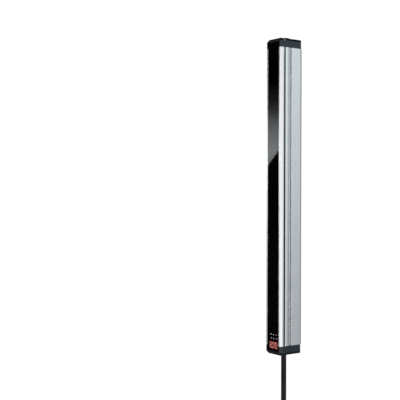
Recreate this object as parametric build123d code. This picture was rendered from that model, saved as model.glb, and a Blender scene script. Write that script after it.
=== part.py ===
"""One unit of a safety light curtain: a slim upright housing with a dark front window, two end caps
and a short cable with a round plug.

Frame, in millimetres: +Z runs up along the housing, the window faces -Y, and the origin is the
middle of the flat back face. Places across the section are given as a depth behind the front face.
"""
from build123d import *
from math import atan2, cos, degrees, radians, sin
import os

# Housing section
WIDTH = 27.0
DEPTH = 35.0
PROFILE_LENGTH = 356.0
FRONT_CHAMFER = (1.6, 3.5)  # across, deep
BACK_CHAMFER = (2.0, 3.7)
ROLL_LENGTH = 8.8  # the rounded stretch of the side behind the slot
ROLL_SINK = 0.2  # how far its front edge lies below the flat side
ROLL_DROP = 1.3  # and its back edge, where the side steps out again
ROLL_TILT = 8.0  # degrees that its front edge leans forward
SIDE_WALL = 1.6
CAVITY_START = 10.0
BACK_WALL = 3.0
RELIEF_HALF = 4.4
RELIEF_DEPTH = 1.6

# Front window, its groove and what presses it forward
RIM = 1.9
WINDOW_RECESS = 0.3
WINDOW_FIT = 0.1
LIP = 1.4
FLANGE_REACH = 1.0
FLANGE_THICKNESS = 1.5
SEAL_THICKNESS = 1.1
SEAL_WIDTH = 2.4
GROOVE_FIT = 0.2
LEDGE_REACH = 1.8  # from the window's edge inwards
LEDGE_THICKNESS = 1.2
END_BRIDGE = 1.2  # cap material between the window's end and the cap's chamfer

# Slots and screw ports of the extrusion
SLOT_DEPTH_PLACE = 6.65
SLOT_MOUTH = 2.7
SLOT_BEVEL = 0.55
SLOT_THROAT = 1.6
PORT_INSET = 2.1  # side slot's round chamber, in from the side face
PORT_WALL = 1.05
BACK_PORT_GAP = 1.65  # metal between the back slot's chamber and a screw port
BACK_PORT_INSET = 5.4
BACK_SLOT_MOUTH = 5.4
BACK_SLOT_LIP = 1.8
BACK_SLOT_HALF = 4.6
BACK_SLOT_CHAMBER = 3.0

# End caps
CAP_HEIGHT = 10.6
CAP_CHAMFER = (2.6, 3.2)  # inwards, along the housing
CAP_FLOOR = 2.6
CAP_WALL = 2.4
CAP_BACK_INSET = 1.0  # its flat back lies inside the profile's
GASKET_THICKNESS = 0.4
GASKET_INSET = 0.5
BOSS_BASE = 7.0
BOSS_TOP = 5.5
BOSS_HEIGHT = 1.8

# Cap screws
SCREW_RADIUS = 1.25
SCREW_GRIP = 9.5  # length that reaches into the housing
SCREW_HEAD = (2.2, 1.9)  # radius, height
SCREW_SOCKET = (1.0, 1.1)
SCREW_FIT = 0.1
HEAD_FIT = 0.2
HEAD_EDGE = 0.4
POST_WALL = 1.3
SMALL_SCREW_RADIUS = 0.85
SMALL_HEAD = (1.8, 1.4)

# Beams, optics and boards
MODULES = ("lower", "upper")
BEAM_PITCH = 20.0
FIRST_BEAM = 40.0  # above the lower end of the profile
TOP_MARGIN = 16.0  # least room above the highest beam
LENS_WALL = 1.3  # carrier material beside a lens
LENS_EDGE = 1.6
LENS_CURVE = 15.0
LENS_WEB = (3.0, 0.9)
CARRIER_STEP = 1.7  # from the carrier's flange in to its body
CARRIER_FLANGE = 1.5
CARRIER_FIT = 0.1
TUNNEL_FRONT = 0.7  # tunnel's mouth, in from the lens
TUNNEL_BACK = 1.6
BOARD_THICKNESS = 1.2
BOARD_BITE = 0.5  # how far a board's edge runs into its groove
BOARD_FIT = 0.1
BOARD_SPACING = 5.6
BOARD_SCREW_BITE = 5.0
MAIN_BOARD_GAP = 2.6
MAIN_BOARD_TAIL = 2.0  # end of the main board above the lower end of the profile
DIODE_SIZE = 3.0
DIODE_HEIGHT = 1.1
DIODE_DOME = (1.0, 0.5)
AMPLIFIER_SIZE = (4.0, 5.0)
AMPLIFIER_GAP = 2.2  # from the heads of the board's screws
CHIP_INSET = 3.1
CHIP_HEIGHT = 1.5
LINK_SIZE = (10.0, 4.0)
PROCESSOR_SIZE = 10.0
PROCESSOR_GAP = 12.0
CAPACITOR = (2.0, 3.2)
CONNECTOR_SIZE = (13.0, 6.0, 8.0)
CONNECTOR_GAP = 2.0
CORE_PITCH = 2.2
BUFFER_FRONT = 10.0
SPRING_STRIP = (4.0, 0.3)

# Display behind the lower end of the window
DISPLAY_FIT = 0.2
DISPLAY_TOP = 26.0  # above the lower end of the profile
DISPLAY_GAP = 0.15
DISPLAY_SHARE = 0.16  # its block's depth, as a share of the housing's
DISPLAY_SHIFT = -0.8  # of its digits and lamps, to the left
DIGIT_HEIGHT = 7.5
DIGIT_MARGIN = 0.9
DIGIT_SPACE = 0.85
DIGIT_STROKE = 0.65
DIGIT_RISE = 0.0  # the digits' centre above the lower end of the profile
LAMP_RADIUS = 0.75
LAMP_RISE = 12.7
POCKET_DEPTH = 0.4
PEG_RADIUS = 0.8
PEG_INSET = (2.5, 4.0)

# Cable, its entry and its put-away end
CABLE_RADIUS = 3.2
CABLE_FIT = 0.1
CABLE_INSIDE = 8.0  # jacket above the lower end of the profile
BUSHING_WALL = 1.5
BUSHING_FLANGE = 2.2
BUSHING_LIP = 0.3
CLAMP_SIDE_ROOM = 1.1
CLAMP_ROOM = 0.55  # between the clamp and the display's board
CLAMP_THICKNESS = 2.0
CLAMP_SCREW_BITE = 4.0
CLAMP_POST = 2.0
TIE_BAND = (1.1, 3.0)
TIE_LOCK = (4.6, 3.0)
CORE_RADIUS = 0.6
CORE_CIRCLE = 1.75
CORES = 5
HANK_START = 73.0  # below the end of the lower cap
HANK_LENGTH = 118.0
FOLD_RADIUS = 19.4
HANK_WAIST = 7.0
HANK_LAYERS = 13.4
TIE_SIZE = (5.0, 1.2)

# Round plug
PLUG_GRIP_RADIUS = 7.2
PLUG_GRIP_LENGTH = 17.0
PLUG_TAIL = (4.2, 11.0)
PLUG_THREAD_RADIUS = 6.0
PLUG_THREAD_LENGTH = 10.0
PLUG_BORE = 4.7
PLUG_NECK = 2.5  # slope from the tail to the grip
PLUG_STEM = (0.4, 5.0)  # sleeve's root inside the grip: how much thinner, how long
PLUG_COLLAR = 2.0
PLUG_FACE = 4.0  # the pins' carrier, beyond the grip
PLUG_FIT = 0.1
TAIL_GROOVES = (3, 2.6, 1.2, 0.5)  # how many, pitch, width, depth
FLUTES = 8
FLUTE = (1.7, 0.9)  # radius, and how far its centre lies outside the grip
SEAL_RING = (0.6, 0.5)  # centre outside the thread, radius of the ring's section
PIN_RADIUS = 0.5
PIN_CIRCLE = 2.75
PIN_LENGTH = 7.0
PIN_ROOT = 3.0

PROFILE_END = PROFILE_LENGTH / 2
CAP_BASE = PROFILE_END + GASKET_THICKNESS
UNIT_END = CAP_BASE + CAP_HEIGHT
WINDOW_END = UNIT_END - CAP_CHAMFER[1] - END_BRIDGE
WINDOW_HALF = WIDTH / 2 - FRONT_CHAMFER[0] - RIM
FLANGE_HALF = WINDOW_HALF + FLANGE_REACH
LEDGE_HALF = WINDOW_HALF - LEDGE_REACH
FLANGE_BACK = LIP + BOARD_FIT / 2 + FLANGE_THICKNESS
LEDGE_FRONT = FLANGE_BACK + SEAL_THICKNESS + BOARD_FIT / 2
LEDGE_BACK = LEDGE_FRONT + LEDGE_THICKNESS
PORT_RADIUS = SCREW_RADIUS + SCREW_FIT
SIDE_PORT = (WIDTH / 2 - PORT_INSET, SLOT_DEPTH_PLACE)
BACK_PORT = (BACK_SLOT_HALF + BACK_PORT_GAP + PORT_RADIUS, DEPTH - BACK_PORT_INSET)
ROLL_START = SLOT_DEPTH_PLACE + SLOT_MOUTH / 2 + ROLL_SINK
ROLL_END = ROLL_START + ROLL_LENGTH
BACK_SLOT_TOP = DEPTH - BACK_SLOT_LIP - BACK_SLOT_CHAMBER
CAVITY_HALF = WIDTH / 2 - ROLL_DROP - SIDE_WALL
CAVITY_END = BACK_SLOT_TOP - BACK_WALL
CHANNEL_HALF = SIDE_PORT[0] - PORT_RADIUS - PORT_WALL
BOARD_HALF = CAVITY_HALF + BOARD_BITE
MAIN_BOARD_PLACE = CAVITY_END - MAIN_BOARD_GAP
SENSOR_BOARD_PLACE = MAIN_BOARD_PLACE - BOARD_SPACING
SENSOR_BOARD_BACK = SENSOR_BOARD_PLACE + BOARD_THICKNESS
CARRIER_FRONT = LEDGE_BACK + CARRIER_FIT
CARRIER_BACK = SENSOR_BOARD_PLACE - CARRIER_FIT
CARRIER_HALF = CHANNEL_HALF - CARRIER_STEP
LENS_RADIUS = CARRIER_HALF - LENS_WALL
LOW_BEAM_Z = -PROFILE_END + FIRST_BEAM
FITTING_BEAMS = int((PROFILE_LENGTH - FIRST_BEAM - TOP_MARGIN) / BEAM_PITCH) + 1
BEAMS_PER_MODULE = FITTING_BEAMS // len(MODULES)
BEAMS = BEAMS_PER_MODULE * len(MODULES)
HIGH_BEAM_Z = LOW_BEAM_Z + (BEAMS - 1) * BEAM_PITCH
DISPLAY_HALF = LEDGE_HALF - DISPLAY_FIT
DIGIT_PITCH = 2 * (DISPLAY_HALF - DIGIT_MARGIN) / 3
DIGIT_WIDTH = DIGIT_PITCH - DIGIT_SPACE
DISPLAY_FRONT = FLANGE_BACK + DISPLAY_GAP
DISPLAY_BACK = DISPLAY_FRONT + DISPLAY_SHARE * DEPTH
DISPLAY_BOARD_PLACE = DISPLAY_BACK + BOARD_FIT / 2
CABLE_Y = -DEPTH / 2
CLAMP_HALF = DEPTH / 2 - CLAMP_ROOM - BOARD_THICKNESS - DISPLAY_BOARD_PLACE
CLAMP_LENGTH = WIDTH - 2 * (CAP_WALL + CLAMP_SIDE_ROOM)
CLAMP_SCREW_X = CLAMP_LENGTH / 2 - CLAMP_POST
CLAMP_BASE = CAP_HEIGHT - CAP_FLOOR - BUSHING_FLANGE - CLAMP_THICKNESS
HEAD_SEAT = CAP_HEIGHT - CAP_CHAMFER[1]  # start of the chamfer and screw heads' underside
ON_BASE = (Align.CENTER, Align.CENTER, Align.MIN)
HANGING = (Align.CENTER, Align.CENTER, Align.MAX)


def y_at(depth):
    """Y of a place given as a depth behind the front face."""
    return depth - DEPTH


def slab(half, start, end):
    """A rectangle across the section, centred, between two depths."""
    return Pos(0, y_at((start + end) / 2)) * Rectangle(2 * half, end - start)


def both_sides(shape):
    """The shape and its mirror image on the other side of the section."""
    return [shape, mirror(shape, about=Plane.YZ)]


def box_between(x, depth, z):
    """A box from three (low, high) pairs: across, depth behind the front, and height."""
    size = (x[1] - x[0], depth[1] - depth[0], z[1] - z[0])
    middle = (sum(x) / 2, y_at(sum(depth) / 2), sum(z) / 2)
    return Pos(*middle) * Box(*size)


def along_y(radius, start, end, x, z):
    """A round bar along the depth, between two depths."""
    bar = Rot(90, 0, 0) * Cylinder(radius, end - start)
    return Pos(x, y_at((start + end) / 2), z) * bar


def save(shape, name):
    """Writes one sub-part to its STEP file."""
    shape.label = name
    export_step(shape, f"parts/{name}.step")


def outline(inset=0.0):
    """The plain outer section, a rectangle with cut corners; its back may be set in."""
    half = WIDTH / 2
    right = [
        (half - FRONT_CHAMFER[0], y_at(0)),
        (half, y_at(FRONT_CHAMFER[1])),
        (half, -BACK_CHAMFER[1] - inset),
        (half - BACK_CHAMFER[0], -inset),
    ]
    left = [(-x, y) for x, y in reversed(right)]
    return make_face(Polyline(*right, *left, close=True))


def roll_recess():
    """What the side lacks along its rounded stretch: it swells a little, then falls to a sharp step."""
    half, tilt = WIDTH / 2, radians(ROLL_TILT)
    start, end = (half - ROLL_SINK, y_at(ROLL_START)), (half - ROLL_DROP, y_at(ROLL_END))
    roll = TangentArc(start, end, tangent=(sin(tilt), cos(tilt)))
    rest = Polyline(end, (half + 1, y_at(ROLL_END)), (half + 1, y_at(ROLL_START)), start)
    return make_face([roll, *rest.edges()])


def side_slot():
    """The side slot: bevelled mouth, narrow throat and a round chamber that takes a cap screw."""
    half, y = WIDTH / 2, y_at(SLOT_DEPTH_PLACE)
    mouth = [
        (half + 0.5, y - SLOT_MOUTH / 2),
        (half, y - SLOT_MOUTH / 2),
        (half - SLOT_BEVEL, y - SLOT_THROAT / 2),
        (half - SLOT_BEVEL, y + SLOT_THROAT / 2),
        (half, y + SLOT_MOUTH / 2),
        (half + 0.5, y + SLOT_MOUTH / 2),
    ]
    throat = Pos(half - PORT_INSET / 2, y) * Rectangle(PORT_INSET, SLOT_THROAT)
    chamber = Pos(SIDE_PORT[0], y) * Circle(PORT_RADIUS)
    return make_face(Polyline(*mouth, close=True)) + throat + chamber


def window_way():
    """The stepped way that the window and its seals run in, open to the front."""
    opening = slab(WINDOW_HALF + WINDOW_FIT, -1.0, LIP)
    groove = slab(FLANGE_HALF + GROOVE_FIT, LIP, LEDGE_FRONT)
    return opening + groove


def back_slot():
    """The T-slot along the back face for the bracket's sliding nuts."""
    mouth = slab(BACK_SLOT_MOUTH / 2, BACK_SLOT_TOP, DEPTH + 1)
    return mouth + slab(BACK_SLOT_HALF, BACK_SLOT_TOP, BACK_SLOT_TOP + BACK_SLOT_CHAMBER)


def board_groove(place):
    """A pair of grooves in the side walls that hold one board's edges."""
    return slab(BOARD_HALF + GROOVE_FIT, place - BOARD_FIT, place + BOARD_THICKNESS + BOARD_FIT)


def housing_profile():
    section = outline() - both_sides(roll_recess()) - both_sides(side_slot())
    section -= window_way()
    section -= slab(LEDGE_HALF, LEDGE_FRONT - 0.5, LEDGE_BACK)
    section -= slab(CHANNEL_HALF, LEDGE_BACK, CAVITY_START)
    section -= slab(CAVITY_HALF, CAVITY_START, CAVITY_END)
    section -= slab(RELIEF_HALF, CAVITY_END, CAVITY_END + RELIEF_DEPTH)
    section -= board_groove(SENSOR_BOARD_PLACE) + board_groove(MAIN_BOARD_PLACE)
    section -= back_slot()
    port = Pos(BACK_PORT[0], y_at(BACK_PORT[1])) * Circle(PORT_RADIUS)
    section -= both_sides(port)
    return Pos(0, 0, -PROFILE_END) * extrude(section, PROFILE_LENGTH)


def front_window():
    """The dark pane, a T in section: its face fills the opening and its flanges run in the grooves."""
    face = slab(WINDOW_HALF, WINDOW_RECESS, FLANGE_BACK)
    flange = slab(FLANGE_HALF, FLANGE_BACK - FLANGE_THICKNESS, FLANGE_BACK)
    return Pos(0, 0, -WINDOW_END) * extrude(face + flange, 2 * WINDOW_END)


def window_seal():
    """The rubber strip between one flange of the pane and the ledge behind it."""
    strip = Rectangle(SEAL_WIDTH, SEAL_THICKNESS)
    strip = fillet(strip.vertices().group_by(Axis.Y)[0], SEAL_THICKNESS / 3)
    middle = FLANGE_BACK + SEAL_THICKNESS / 2
    strip = Pos(FLANGE_HALF - SEAL_WIDTH / 2, y_at(middle)) * strip
    return Pos(0, 0, -WINDOW_END) * extrude(strip, 2 * WINDOW_END)


def screw_places():
    """The four cap screws: two in the side slots and two in the back ports."""
    return [(side * x, y_at(d)) for x, d in (SIDE_PORT, BACK_PORT) for side in (-1, 1)]


def cap_room():
    """The cap's hollow inside, with posts left round the screws."""
    half = WIDTH / 2 - CAP_WALL
    room = slab(half, LEDGE_BACK, DEPTH - CAP_WALL)
    for x, y in screw_places():
        room -= Pos(x, y) * Circle(SCREW_RADIUS + POST_WALL)
    return room


def cap_shell():
    """A cap without its own openings, built upwards from its base at Z 0; its back isn't chamfered."""
    open_back = outline(-2 * BACK_CHAMFER[1])
    slope = degrees(atan2(CAP_CHAMFER[0], CAP_CHAMFER[1]))
    top = extrude(Pos(0, 0, HEAD_SEAT) * open_back, CAP_CHAMFER[1], taper=slope)
    shell = (extrude(open_back, HEAD_SEAT) + top) & extrude(outline(CAP_BACK_INSET), CAP_HEIGHT)
    shell -= extrude(cap_room(), CAP_HEIGHT - CAP_FLOOR)
    window_height = WINDOW_END - CAP_BASE + WINDOW_FIT
    shell -= extrude(window_way(), window_height)
    shell -= extrude(slab(LEDGE_HALF, LEDGE_FRONT - 0.5, LEDGE_BACK + 0.5), window_height)
    for x, y in screw_places():
        shell -= Pos(x, y, CAP_HEIGHT / 2) * Cylinder(PORT_RADIUS, 2 * CAP_HEIGHT)
        bore = Cylinder(SCREW_HEAD[0] + HEAD_FIT, CAP_HEIGHT, align=ON_BASE)
        shell -= Pos(x, y, HEAD_SEAT) * bore
    return shell


def top_cap():
    """The upper cap, closed, with a low round boss in its middle."""
    boss = Cone(BOSS_BASE, BOSS_TOP, BOSS_HEIGHT, align=ON_BASE)
    cap = cap_shell() + Pos(0, CABLE_Y, CAP_HEIGHT) * boss
    return Pos(0, 0, CAP_BASE) * cap


def bottom_cap():
    """The lower cap, with the cable's hole in its floor and two posts for the gland's clamp."""
    cap = cap_shell()
    base = CLAMP_BASE + CLAMP_THICKNESS
    post = Cylinder(CLAMP_POST, BUSHING_FLANGE, align=ON_BASE)
    depth = CLAMP_BASE + CLAMP_SCREW_BITE + GROOVE_FIT
    pilot = Cylinder(SMALL_SCREW_RADIUS + CARRIER_FIT / 2, depth, align=ON_BASE)
    for side in (-1, 1):
        cap += Pos(side * CLAMP_SCREW_X, CABLE_Y, base) * post
        cap -= Pos(side * CLAMP_SCREW_X, CABLE_Y, 0) * pilot
    way = Cylinder(CABLE_RADIUS + BUSHING_WALL, CAP_FLOOR + BUSHING_FLANGE, align=HANGING)
    cap -= Pos(0, CABLE_Y, CAP_HEIGHT) * way
    return Rot(180, 0, 0) * Pos(0, 0, CAP_BASE) * mirror(cap, about=Plane.XZ)


def gasket():
    """The flat seal between a cap and the end of the profile, in the shape of the metal's end."""
    ring = offset(outline(CAP_BACK_INSET), -GASKET_INSET, kind=Kind.INTERSECTION)
    ring -= window_way()
    ring -= slab(CHANNEL_HALF, LEDGE_FRONT - 0.5, CAVITY_START)
    ring -= slab(CAVITY_HALF, CAVITY_START - 0.5, CAVITY_END)
    for x, y in screw_places():
        ring -= Pos(x, y) * Circle(PORT_RADIUS)
    return extrude(ring, GASKET_THICKNESS)


def cap_screw():
    """One cap screw, its head up and the underside of the head at Z 0."""
    shank_length = HEAD_SEAT + GASKET_THICKNESS + SCREW_GRIP
    shank = Cylinder(SCREW_RADIUS, shank_length, align=HANGING)
    tip = shank.faces().sort_by(Axis.Z)[0].edges()
    shank = chamfer(tip, HEAD_EDGE)
    head = Cylinder(*SCREW_HEAD, align=ON_BASE)
    head = chamfer(head.faces().sort_by(Axis.Z)[-1].edges(), HEAD_EDGE)
    recess = extrude(RegularPolygon(SCREW_SOCKET[0], 6), SCREW_SOCKET[1])
    return shank + head - Pos(0, 0, SCREW_HEAD[1] - SCREW_SOCKET[1]) * recess


def cap_screws(end):
    """The four screws of one cap; end is 1 for the top and -1 for the bottom."""
    seat = CAP_BASE + HEAD_SEAT
    turn = Rot(0, 0, 0) if end > 0 else Rot(180, 0, 0)
    return Compound(children=[Pos(x, y, end * seat) * turn * cap_screw() for x, y in screw_places()])


def beam_heights(module):
    """Heights of one module's beams, from the lowest."""
    first = LOW_BEAM_Z + MODULES.index(module) * BEAMS_PER_MODULE * BEAM_PITCH
    return [first + i * BEAM_PITCH for i in range(BEAMS_PER_MODULE)]


def lens_tunnel():
    """What one beam cuts from the carrier: lens seat, tapered tunnel and the receiver's pocket."""
    seat_depth = LENS_EDGE + CARRIER_FIT
    seat = along_y(LENS_RADIUS + CARRIER_FIT, CARRIER_FRONT - 1, CARRIER_FRONT + seat_depth, 0, 0)
    start, end = CARRIER_FRONT + seat_depth, CARRIER_BACK - DIODE_HEIGHT
    cone = Cone(LENS_RADIUS - TUNNEL_FRONT, TUNNEL_BACK, end - start)
    cone = Pos(0, y_at((start + end) / 2), 0) * Rot(-90, 0, 0) * cone
    half = DIODE_SIZE / 2 + GROOVE_FIT
    pocket = box_between((-half, half), (end - 0.3, CARRIER_BACK + 1), (-half, half))
    return seat + cone + pocket


def optics_carrier(module):
    """A moulded black bar with one tapered light tunnel for each beam, hooked behind the ledges."""
    heights = beam_heights(module)
    length = BEAMS_PER_MODULE * BEAM_PITCH - 2 * CARRIER_FIT
    flange = slab(CHANNEL_HALF - CARRIER_FIT, CARRIER_FRONT, CARRIER_FRONT + CARRIER_FLANGE)
    body = slab(CARRIER_HALF, CARRIER_FRONT, CARRIER_BACK)
    middle = (heights[0] + heights[-1]) / 2
    bar = Pos(0, 0, middle - length / 2) * extrude(flange + body, length)
    web = LENS_WEB[0] / 2 + CARRIER_FIT
    span = (heights[0], heights[-1])
    bar -= box_between((-web, web), (CARRIER_FRONT - 1, CARRIER_FRONT + LENS_WEB[1]), span)
    tunnel = lens_tunnel()
    bar -= [Pos(0, 0, z) * tunnel for z in heights]
    pilot, deep = SMALL_SCREW_RADIUS + CARRIER_FIT / 2, CARRIER_BACK - BOARD_SCREW_BITE - 2 * CARRIER_FIT
    return bar - [along_y(pilot, deep, CARRIER_BACK + 1, 0, z) for z in screw_heights(module)]


def screw_heights(module):
    """Heights of the two screws that hold a module to its board, midway between beams."""
    heights = beam_heights(module)
    return [heights[0] + BEAM_PITCH / 2, heights[-1] - BEAM_PITCH / 2]


def lens():
    """One lens: a short round edge with a domed front, around Z 0."""
    edge = along_y(LENS_RADIUS, CARRIER_FRONT, CARRIER_FRONT + LENS_EDGE, 0, 0)
    rise = LENS_CURVE - (LENS_CURVE**2 - LENS_RADIUS**2) ** 0.5
    ball = Pos(0, y_at(CARRIER_FRONT - rise + LENS_CURVE), 0) * Sphere(LENS_CURVE)
    return edge + (ball & along_y(LENS_RADIUS, CARRIER_FRONT - 3, CARRIER_FRONT, 0, 0))


def lens_strip(module):
    """The clear moulded strip that holds all lenses of one module."""
    heights = beam_heights(module)
    web, back = LENS_WEB[0] / 2, CARRIER_FRONT + LENS_WEB[1] - CARRIER_FIT
    strip = box_between((-web, web), (CARRIER_FRONT, back), (heights[0], heights[-1]))
    one = lens()
    for z in heights:
        strip += Pos(0, 0, z) * one
    return strip


def photodiodes(module):
    """The receivers of one module: square packages with a small dome, on the board's front."""
    body = Box(DIODE_SIZE, DIODE_HEIGHT, DIODE_SIZE)
    body = Pos(0, y_at(SENSOR_BOARD_PLACE - DIODE_HEIGHT / 2), 0) * body
    top, (radius, rise) = SENSOR_BOARD_PLACE - DIODE_HEIGHT, DIODE_DOME
    dome = along_y(radius, top - rise, top, 0, 0)
    dome = chamfer(dome.faces().sort_by(Axis.Y)[0].edges(), HEAD_EDGE)
    return Compound(children=[Pos(0, 0, z) * (body + dome) for z in beam_heights(module)])


def sensor_board_span():
    return LOW_BEAM_Z - BEAM_PITCH / 2, HIGH_BEAM_Z + BEAM_PITCH / 2


def receiver_board():
    depth = (SENSOR_BOARD_PLACE, SENSOR_BOARD_BACK)
    board = box_between((-BOARD_HALF, BOARD_HALF), depth, sensor_board_span())
    heights = [z for m in MODULES for z in screw_heights(m)]
    hole = SMALL_SCREW_RADIUS + GROOVE_FIT
    return board - [along_y(hole, depth[0] - 1, depth[1] + 1, 0, z) for z in heights]


def board_screws():
    """The small screws that hold the optics carriers to the receiver board."""
    screws = []
    for z in [z for m in MODULES for z in screw_heights(m)]:
        shank = along_y(SMALL_SCREW_RADIUS, CARRIER_BACK - BOARD_SCREW_BITE, SENSOR_BOARD_BACK, 0, z)
        head = along_y(SMALL_HEAD[0], SENSOR_BOARD_BACK, SENSOR_BOARD_BACK + SMALL_HEAD[1], 0, z)
        head = chamfer(head.faces().sort_by(Axis.Y)[-1].edges(), HEAD_EDGE)
        screws.append(shank + head)
    return Compound(children=screws)


def amplifier_chips():
    """Small amplifier chips on the back of the receiver board, one for each pair of beams."""
    depth = (SENSOR_BOARD_BACK, SENSOR_BOARD_BACK + CHIP_HEIGHT)
    chips, (wide, tall) = [], AMPLIFIER_SIZE
    edge = SMALL_HEAD[0] + AMPLIFIER_GAP
    for i in range(BEAMS // 2):
        z = LOW_BEAM_Z + (2 * i + 0.5) * BEAM_PITCH
        chips.append(box_between((edge, edge + wide), depth, (z - tall / 2, z + tall / 2)))
    return Compound(children=chips)


def board_link():
    """The plug-in connector that joins the two boards."""
    depth = (SENSOR_BOARD_BACK, MAIN_BOARD_PLACE)
    middle, (wide, tall) = (LOW_BEAM_Z + HIGH_BEAM_Z) / 2 + 2 * BEAM_PITCH, LINK_SIZE
    edge = CHIP_INSET - BOARD_HALF
    link = box_between((edge, edge + wide), depth, (middle - tall / 2, middle + tall / 2))
    return chamfer(link.edges().filter_by(Axis.Y), HEAD_EDGE)


def main_board_span():
    return -PROFILE_END + MAIN_BOARD_TAIL, sensor_board_span()[1]


def processor_board():
    depth = (MAIN_BOARD_PLACE, MAIN_BOARD_PLACE + BOARD_THICKNESS)
    return box_between((-BOARD_HALF, BOARD_HALF), depth, main_board_span())


def controller_chips():
    """The two processors that watch each other, on the front of the main board."""
    depth = (MAIN_BOARD_PLACE - CHIP_HEIGHT, MAIN_BOARD_PLACE)
    half, low = PROCESSOR_SIZE / 2, LOW_BEAM_Z + BEAM_PITCH
    starts = (low, low + PROCESSOR_SIZE + PROCESSOR_GAP)
    return Compound(children=[box_between((-half, half), depth, (z, z + 2 * half)) for z in starts])


def capacitors():
    """Round supply capacitors on the front of the main board."""
    radius, height = CAPACITOR
    z, start = LOW_BEAM_Z + 5 * BEAM_PITCH, MAIN_BOARD_PLACE - height
    places = [CHIP_INSET - BOARD_HALF + radius * (1 + 2.4 * i) for i in range(2)]
    cans = [along_y(radius, start, MAIN_BOARD_PLACE, x, z) for x in places]
    return Compound(children=[chamfer(c.faces().sort_by(Axis.Y)[0].edges(), HEAD_EDGE) for c in cans])


def connector_span():
    top = sensor_board_span()[0] - CONNECTOR_GAP
    return top - CONNECTOR_SIZE[2], top


def core_connector():
    """The socket on the main board that takes the cable's cores."""
    depth = (MAIN_BOARD_PLACE - CONNECTOR_SIZE[1], MAIN_BOARD_PLACE)
    block = box_between((-CONNECTOR_SIZE[0] / 2, CONNECTOR_SIZE[0] / 2), depth, connector_span())
    return chamfer(block.edges().filter_by(Axis.X), HEAD_EDGE)


def core_end(i):
    depth = MAIN_BOARD_PLACE - CONNECTOR_SIZE[1] / 2
    return Vector((i - (CORES - 1) / 2) * CORE_PITCH, y_at(depth), connector_span()[0])


def core_start(i):
    angle = radians(90 + 360 / CORES * i)
    x, y = CORE_CIRCLE * cos(angle), CABLE_Y + CORE_CIRCLE * sin(angle)
    return Vector(x, y, -PROFILE_END + CABLE_INSIDE)


def cable_cores():
    """The insulated cores from the end of the jacket to the socket, in order across it."""
    order = sorted(range(CORES), key=lambda i: core_start(i).X)
    cores = []
    for place, i in enumerate(order):
        ends = [Pos(*point) * Circle(CORE_RADIUS) for point in (core_start(i), core_end(place))]
        cores.append(loft(ends))
    return Compound(children=cores)


def display_span():
    return -WINDOW_END + DISPLAY_GAP, -PROFILE_END + DISPLAY_TOP


def segment(length):
    """One bar of a digit, lying across, with pointed ends."""
    half, point = length / 2, DIGIT_STROKE / 2
    corners = [
        (-half, 0),
        (-half + point, point),
        (half - point, point),
        (half, 0),
        (half - point, -point),
        (-half + point, -point),
    ]
    return make_face(Polyline(*corners, close=True))


def digit_face():
    """The seven bars of one digit as flat shapes, around its centre."""
    gap = CARRIER_FIT
    across, half = DIGIT_WIDTH - DIGIT_STROKE, (DIGIT_HEIGHT - DIGIT_STROKE) / 2
    bar, post = segment(across - gap), Rot(0, 0, 90) * segment(half - gap)
    bars = [Pos(0, y) * bar for y in (-half, 0, half)]
    posts = [Pos(x, y) * post for x in (-across / 2, across / 2) for y in (-half / 2, half / 2)]
    return bars + posts


def on_display(shape, x, z, start):
    """Stands a flat shape up on the display, facing the window."""
    return Pos(x, y_at(start), z) * Rot(90, 0, 0) * shape


def digit_x(place):
    return DISPLAY_SHIFT + place * DIGIT_PITCH


def digit(place):
    """One digit: seven bars set into the display's face; place is -1, 0 or 1 from the left."""
    z = -PROFILE_END + DIGIT_RISE
    start = DISPLAY_FRONT + POCKET_DEPTH
    bars = [extrude(bar, POCKET_DEPTH) for bar in digit_face()]
    return Compound(children=[on_display(b, digit_x(place), z, start) for b in bars])


def lamp_place(i):
    return digit_x(i - 1), -PROFILE_END + DIGIT_RISE + LAMP_RISE


def status_lamps():
    """Three small round lamps above the digits."""
    front = DISPLAY_FRONT
    lamps = []
    for i in range(3):
        x, z = lamp_place(i)
        lamp = along_y(LAMP_RADIUS, front - DISPLAY_GAP / 2, front + POCKET_DEPTH, x, z)
        lamps.append(chamfer(lamp.faces().sort_by(Axis.Y)[0].edges(), POCKET_DEPTH / 3))
    return Compound(children=lamps)


def display_housing():
    """The display's black block, with pockets for the bars and lamps, wings and staking pegs."""
    front, back, span = DISPLAY_FRONT, DISPLAY_BACK, display_span()
    block = box_between((-DISPLAY_HALF, DISPLAY_HALF), (front, back), span)
    wing = CHANNEL_HALF - CARRIER_FIT
    wings = (-PROFILE_END + 1.0, span[1])
    block += box_between((-wing, wing), (CARRIER_FRONT, CARRIER_FRONT + CARRIER_FLANGE), wings)
    floor = front + POCKET_DEPTH
    for place in (-1, 0, 1):
        for bar in digit_face():
            cut = extrude(bar, 2 * POCKET_DEPTH)
            block -= on_display(cut, digit_x(place), -PROFILE_END + DIGIT_RISE, floor)
    for i in range(3):
        x, z = lamp_place(i)
        block -= along_y(LAMP_RADIUS, front - 1, floor, x, z)
    for x, z in peg_places():
        block += along_y(PEG_RADIUS, back, back + BOARD_THICKNESS + POCKET_DEPTH, x, z)
    return block


def peg_places():
    (low, high), (across, along) = display_span(), PEG_INSET
    return [(across - DISPLAY_HALF, low + along), (DISPLAY_HALF - across, high - along)]


def display_board():
    back = DISPLAY_BOARD_PLACE
    board = box_between((-DISPLAY_HALF, DISPLAY_HALF), (back, back + BOARD_THICKNESS), display_span())
    hole = PEG_RADIUS + BOARD_FIT
    return board - [along_y(hole, back - 1, back + 2 * BOARD_THICKNESS, x, z) for x, z in peg_places()]


def below(height):
    """Z of a place given as a distance from the lower cap's base, towards its end."""
    return -CAP_BASE - height


def round_ring(inner, outer, low, high):
    """A ring round the cable's line between two distances from the lower cap's base."""
    middle = (below(low) + below(high)) / 2
    ring = Cylinder(outer, high - low) - Cylinder(inner, high - low + 1)
    return Pos(0, CABLE_Y, middle) * ring


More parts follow.
